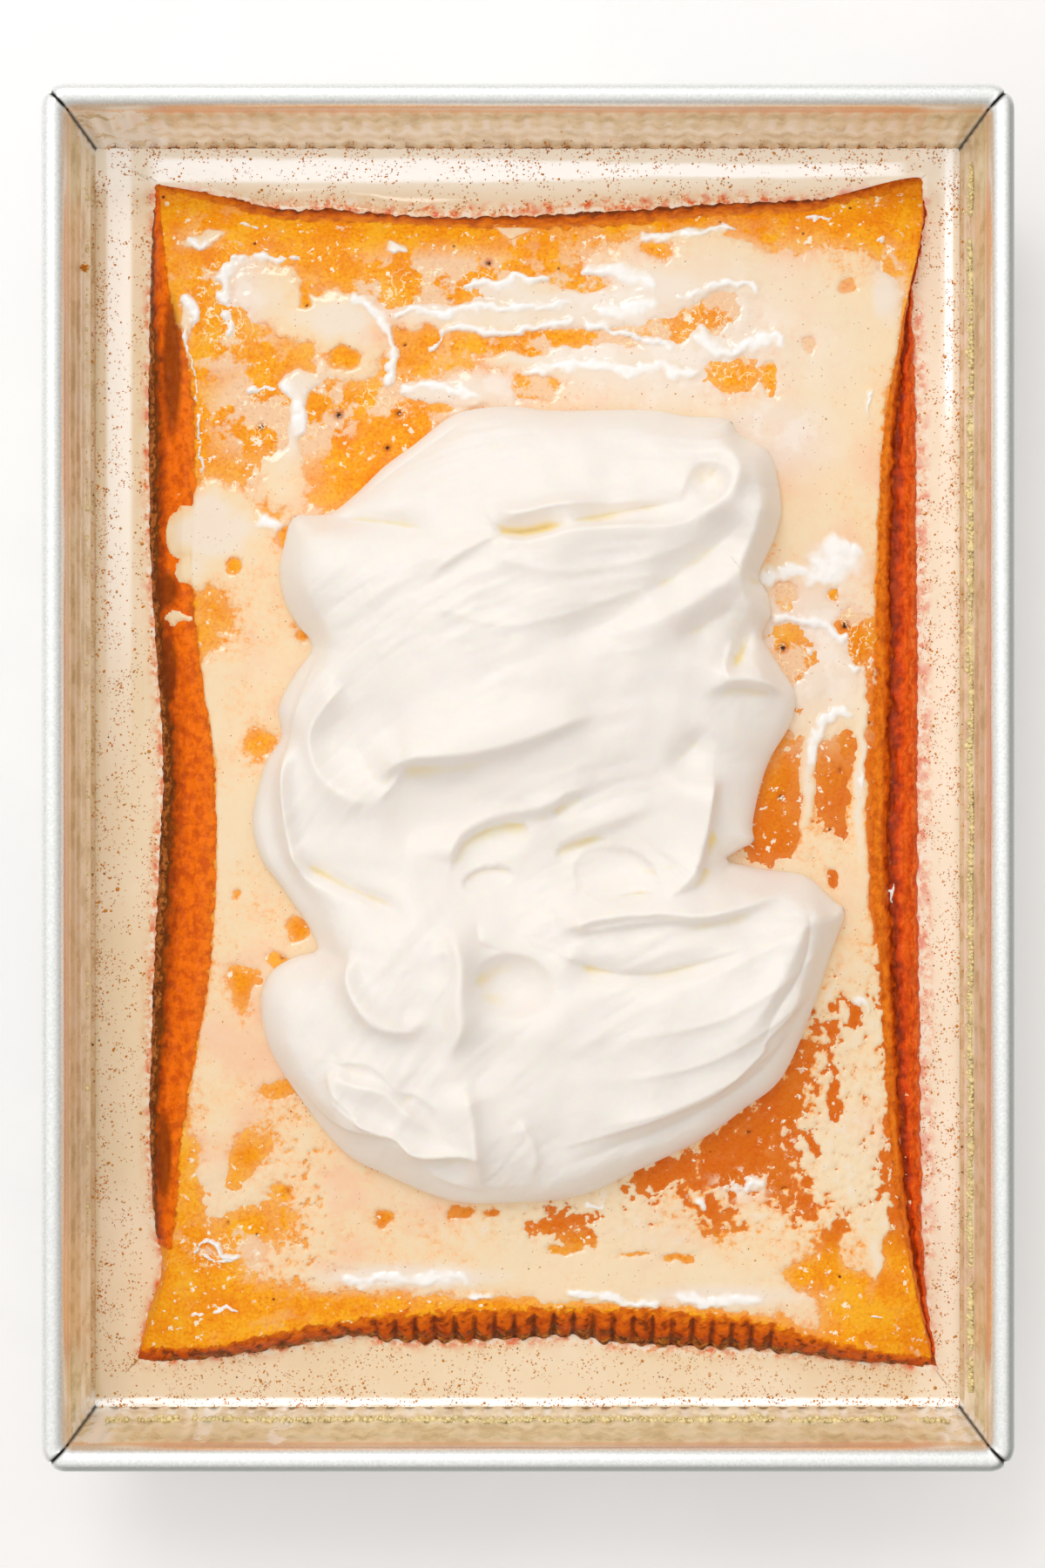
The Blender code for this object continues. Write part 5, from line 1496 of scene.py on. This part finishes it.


# The colours of each side, from its foot in the milk up to its rim; the darker bands by the feet and in the
# right side's crease are partly the crust's own colour and partly painted shade
SIDE_COLOURS = {
    "left": [
        (0.0, (150, 96, 40)), (0.22, (120, 62, 8)), (0.34, (206, 88, 0)), (0.5, (252, 118, 0)),
        (0.8, (254, 122, 0)), (0.92, (250, 126, 2)), (0.97, (230, 114, 8)),
    ],
    "right": [
        (0.0, (250, 150, 96)), (0.08, (240, 92, 16)), (0.16, (250, 128, 52)), (0.24, (232, 82, 10)),
        (0.32, (250, 112, 24)), (0.42, (240, 84, 4)), (0.52, (190, 66, 2)),
        (0.62, (150, 52, 4)), (0.72, (236, 110, 12)), (0.86, (255, 146, 30)), (0.97, (248, 130, 20)),
    ],
    "near": [
        (0.0, (124, 72, 14)), (0.22, (156, 80, 12)), (0.4, (206, 86, 0)), (0.75, (236, 112, 0)),
        (0.97, (240, 130, 8)),
    ],
    "far": [
        (0.0, (116, 54, 8)), (0.26, (150, 68, 8)), (0.42, (216, 102, 8)), (0.7, (238, 130, 14)),
        (0.97, (246, 146, 12)),
    ],
}

# The ragged border at a side's foot: the share of the side that it takes up, and its two colours
FLAKED_SIDES = {
    "left": (0.17, (110, 56, 10), (190, 114, 50)),
    "near": (0.26, (110, 56, 8), (206, 128, 44)),
}


def cake_material():
    paint = Paint("soaked sponge", (240, 150, 25), 0.42)
    paint.set({"Specular IOR Level": 0.18})
    crumb = paint.source((1100, 5.0, 0.6))
    broad = paint.source((110, 3.0, 0.55))
    glints = paint.source((300, 3.0, 0.5))
    top = paint.mask(*((name, 1.0, 1.05) for name in SIDE_COLOURS))
    on_top = (top, 0.0, 1.0)
    paint.colour = paint.ramp(crumb, [(0.32, (248, 146, 0)), (0.5, (254, 164, 6)), (0.66, (255, 184, 32))])
    paint.lay((244, 132, 2), (broad, 0.48, 0.68, 0.7))
    paint.lay((255, 188, 40), (broad, 0.46, 0.36, 0.6))
    paint.lay((218, 92, 0), ("deep", 0.0, 1.0, 0.8))
    paint.lay((120, 50, 8), (paint.cells(100), 0.06, 0.03))
    paint.lay((251, 186, 118), ("soak", -1.0, 0.1, 0.55), ("deep", 0.0, 1.0, 0.25, 1.0))
    paint.lay((248, 212, 176), ((85, 6.0, 0.62), 0.5, 0.535, 0.85), ("wet", 0.02, 0.3))
    for name, stops in SIDE_COLOURS.items():
        paint.lay(paint.ramp(name, stops), (name, 1.0, 0.97))
    for name, (reach, dark, light) in FLAKED_SIDES.items():
        flakes = paint.ramp((620, 6.0, 0.65), [(0.44, dark), (0.54, light)])
        paint.lay(flakes, (name, reach + 0.02, reach))
    # Painted shade in the near side's flute grooves
    paint.lay((116, 44, 0), ("groove", 0.35, 0.75, 0.85))
    paint.lay((110, 48, 4), ("near", 0.9, 0.6), ("wear", -0.1, -0.6, 0.75))
    mottle = paint.ramp((330, 6.0, 0.7), [(0.4, (206, 168, 130)), (0.56, (255, 255, 255))])
    paint.lay(mottle, (top, 1.0, 0.0, 0.75), blend="MULTIPLY")
    grain = paint.ramp(crumb, [(0.3, (236, 220, 196)), (0.48, (255, 255, 255))])
    paint.lay(grain, share=0.6, blend="MULTIPLY")
    paint.lay((120, 48, 0), ("scorch", 0.45, 0.75, 0.75))
    paint.lay((206, 96, 8), ("pit", 0.02, 0.3, 0.5))
    paint.lay((60, 22, 4), ("pit", 0.4, 0.8))
    # Painted highlights: wet glints in thin squiggles, and small sparks of light, on the top
    in_glint = ((glints, 0.475, 0.492), (glints, 0.525, 0.508))
    paint.lay((255, 232, 186), *in_glint, ("wet", 0.3, 0.6), ((160, 2.0, 0.55), 0.46, 0.52), on_top)
    paint.lay((255, 246, 222), ((430, 3.0, 0.6), 0.62, 0.65), ((60, 3.0, 0.55), 0.42, 0.52, 0.9), on_top)
    paint.bump(crumb, 0.5, 0.0003)
    return paint.finish()


# The film's colours, from where it is thinnest to where it is whole
FILM_COLOURS = [
    (0.0, (250, 140, 6)), (0.2, (252, 168, 64)), (0.34, (251, 194, 132)), (0.6, (252, 212, 164)),
    (1.0, (249, 221, 178)),
]


def film_material():
    paint = Paint("milk film", (246, 224, 188), 0.1)
    ragged = paint.mask(((600, 6.0, 0.65), 0.3, 0.7, 0.7, -0.7))
    cover = paint.node("ShaderNodeMath", {0: paint.source("cover"), 1: ragged}).outputs[0]
    rippled = ("rippled", 0.2, 0.7, 0.7)
    paint.colour = paint.ramp(paint.mask((cover, -0.3, 1.2)), FILM_COLOURS)
    paint.lay((251, 204, 166), ((45, 5.0, 0.6), 0.5, 0.62, 0.8))
    # Painted sheen in broad patches, and more of it where the film lies in ripples
    paint.lay((247, 226, 190), ((28, 3.0, 0.5), 0.45, 0.58, 0.75))
    paint.lay((244, 229, 216), rippled)
    paint.lay((246, 232, 216), ("cover", 1.2, 2.6, 0.8))
    # Painted sheen, brighter still, in spots where the film lies in ripples
    paint.lay((254, 246, 238), rippled, ((120, 4.0, 0.55), 0.5, 0.6, 0.6))
    # Painted highlights on the rolls of milk
    paint.lay((255, 253, 250), ("roll", 0.15, 0.7, 0.95))
    paint.bump((110, 2.0, 0.55), 0.12, 0.0005)
    return paint.finish()


def milk_material():
    paint = Paint("milk", (250, 238, 212), 0.06)
    paint.colour = paint.ramp((30, 3.0, 0.55), [(0.35, (247, 224, 186)), (0.65, (254, 234, 204))])
    paint.lay((226, 206, 160), ("wall_gap", 1.6, 0.2, 0.8))
    stops = [(0.43, (236, 96, 30)), (0.5, (250, 184, 124)), (0.57, (255, 238, 222))]
    paint.lay(paint.ramp((380, 5.0, 0.65), stops), ("shows", 0.0, 1.0))
    # Painted light: the milk is painted brighter by the far wall and paler in the streaks, and both glow a
    # little
    paint.lay((255, 246, 226), ("bright", 0.0, 1.0))
    paint.lay((255, 255, 252), ("pale", 0.0, 1.0))
    painted_glow = paint.mix(paint.source("bright"), (0.0, 0.0, 0.0, 1.0), (0.13, 0.12, 0.11, 1.0))
    painted_glow = paint.mix(paint.source("pale"), painted_glow, (0.3, 0.3, 0.3, 1.0))
    paint.set({"Emission Color": painted_glow, "Emission Strength": 1.0})
    return paint.finish()


def cream_material():
    paint = Paint("whipped cream", (250, 243, 234), 0.42)
    paint.set({"Subsurface Weight": 0.5, "Subsurface Radius": (1.0, 0.72, 0.45)})
    paint.set({"Subsurface Scale": 0.0016, "Specular IOR Level": 0.35})
    # Painted shade in the creases, yellower the deeper they are
    stops = [(0.1, (249, 241, 234)), (0.5, (249, 236, 212)), (1.0, (252, 228, 166))]
    paint.colour = paint.ramp("crease", stops)
    paint.bump((700, 3.0, 0.55), 0.12, 0.0003)
    return paint.finish()


# The colours of the pan's walls inside, from the milk up to the bead; their warm tint is partly painted
# reflection of the cake and milk
WALL_BANDS = [
    (0.0, (196, 146, 96)), (0.07, (232, 200, 156)), (0.14, (214, 192, 148)), (0.26, (255, 246, 224)),
    (0.38, (232, 214, 176)), (0.5, (255, 250, 234)), (0.62, (230, 218, 180)), (0.74, (240, 230, 192)),
    (0.86, (214, 206, 160)), (0.95, (240, 226, 190)),
]


def metal_material():
    paint = Paint("satin metal", (236, 235, 232), 0.36, 0.85)
    grain = paint.source((1500, 3.0, 0.7))
    inner = ("inner", 0.0, 1.0)
    paint.colour = paint.ramp(grain, [(0.35, (232, 236, 234)), (0.65, (254, 255, 254))])
    # Painted shade on the bead's side that faces the shaded way
    paint.lay((150, 160, 154), ("shaded", 0.08, 0.5, 0.8))
    stops = [(0.4, (196, 172, 128)), (0.5, (244, 232, 202)), (0.6, (255, 252, 244))]
    paint.lay(paint.mix(0.6, paint.ramp((130, 6.0, 0.7), stops), paint.ramp("band", WALL_BANDS)), inner)
    # Painted reflection of the orange interior, in a strip just under the bead
    paint.lay((240, 190, 140), inner, ("level", 50.4, 51.6))
    # Painted highlights on the flutes' crests
    paint.lay((252, 248, 240), ("crest", 0.0, 1.0), ((70, 5.0, 0.7), 0.44, 0.52, 0.85))
    paint.lay((252, 250, 244), ("residue", 0.2, 0.5), ((200, 6.0, 0.7), 0.46, 0.49))
    # The corner seams: a real groove, painted dark as painted shade in it
    paint.lay((20, 16, 10), ("seam", 0.2, 0.8))
    paint.set({"Metallic": paint.mask(("inner", 0.0, 1.0, 0.35, 0.85))})
    paint.set({"Roughness": paint.mask((grain, 0.35, 0.65, 0.37, 0.31))})
    paint.bump(grain, 0.04, 0.0002)
    return paint.finish()


def fleck_material(name, colour):
    paint = Paint(name, colour, 0.7)
    paint.colour = paint.ramp((300, 2.0, 0.55), [(0.3, linear(colour, 0.8)), (0.6, colour)])
    return paint.finish()


def add_stage():
    """A pale stone table top."""
    corners = [(-FLOOR_HALF, -FLOOR_HALF), (FLOOR_HALF, -FLOOR_HALF), (FLOOR_HALF, FLOOR_HALF)]
    corners = np.array(corners + [(-FLOOR_HALF, FLOOR_HALF)])
    floor = mesh_object("table", at_level(corners, FLOOR_LEVEL), [np.array([[0, 1, 2, 3]])])
    paint = Paint("pale stone", (250, 250, 250), 0.5)
    paint.colour = paint.ramp((9, 8.0, 0.6), [(0.45, (252, 251, 251)), (0.55, (255, 254, 253))])
    floor.data.materials.append(paint.finish())


def add_window():
    """A window above the far side."""
    light = bpy.data.lights.new("window", "AREA")
    light.shape = "RECTANGLE"
    light.size, light.size_y = WINDOW_SIZE
    light.energy = WINDOW_POWER
    obj = bpy.data.objects.new("window", light)
    obj.location = WINDOW_PLACE
    direction = np.array((0.0, 0.0, 0.03)) - np.array(WINDOW_PLACE)
    obj.rotation_euler = Vector(direction).to_track_quat("-Z", "Y").to_euler()
    bpy.context.scene.collection.objects.link(obj)


def add_room():
    """A pale room that is brightest high up on the left."""
    world = bpy.data.worlds.new("pale room")
    world.use_nodes = True
    nodes = NodeTree(world.node_tree)
    way = nodes.node("ShaderNodeTexCoord").outputs["Generated"]
    inputs = {0: way, 1: BRIGHT_WAY}
    facing = nodes.node("ShaderNodeVectorMath", inputs, operation="DOT_PRODUCT").outputs["Value"]
    tint = nodes.ramp(facing, [(0.0, (1.0, 0.93, 0.885, 1.0)), (0.8, (1.0, 0.99, 0.972, 1.0))])
    strength = nodes.mask((facing, 0.0, 1.0, ROOM_LIGHT[1], ROOM_LIGHT[0]))
    nodes.fill(world.node_tree.nodes["Background"].inputs, {"Color": tint, "Strength": strength})
    bpy.context.scene.world = world


def add_camera():
    """Looks straight down on the pan from the distance that the picture was taken at."""
    camera = bpy.data.cameras.new("camera")
    camera.sensor_width = SENSOR
    camera.lens = SENSOR * VIEW_DISTANCE_TO_RIM * POINTS_PER_MM_AT_RIM / PICTURE_HEIGHT
    obj = bpy.data.objects.new("camera", camera)
    obj.location = (VIEW_MIDDLE[0] * MM, VIEW_MIDDLE[1] * MM, (PAN_HEIGHT + VIEW_DISTANCE_TO_RIM) * MM)
    bpy.context.scene.collection.objects.link(obj)
    bpy.context.scene.camera = obj


def dress(obj, material, node=None):
    """Gives a piece its material and its body, and hides the part of the node that it stands for."""
    obj.data.materials.append(material)
    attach(obj, "root")
    if node:
        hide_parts(node)


def main():
    form = CakeForm()
    metal = metal_material()
    dress(add_pan(), metal, "pan")
    dress(add_pan_floor(), metal, "pan")
    dress(add_pool(form), milk_material(), "milk")
    dress(add_cake(form), cake_material(), "cake")
    dress(add_film(form), film_material())
    dress(add_cream(), cream_material(), "whipped_cream")
    for piece, colour in zip(add_cinnamon(form), CINNAMON_COLOURS):
        dress(piece, fleck_material(piece.name, colour))
    dress(add_wall_crumbs(), fleck_material("dried batter", (255, 238, 180)))
    add_stage()
    add_window()
    add_room()
    add_camera()
    bpy.context.scene.view_settings.view_transform = "Standard"


main()
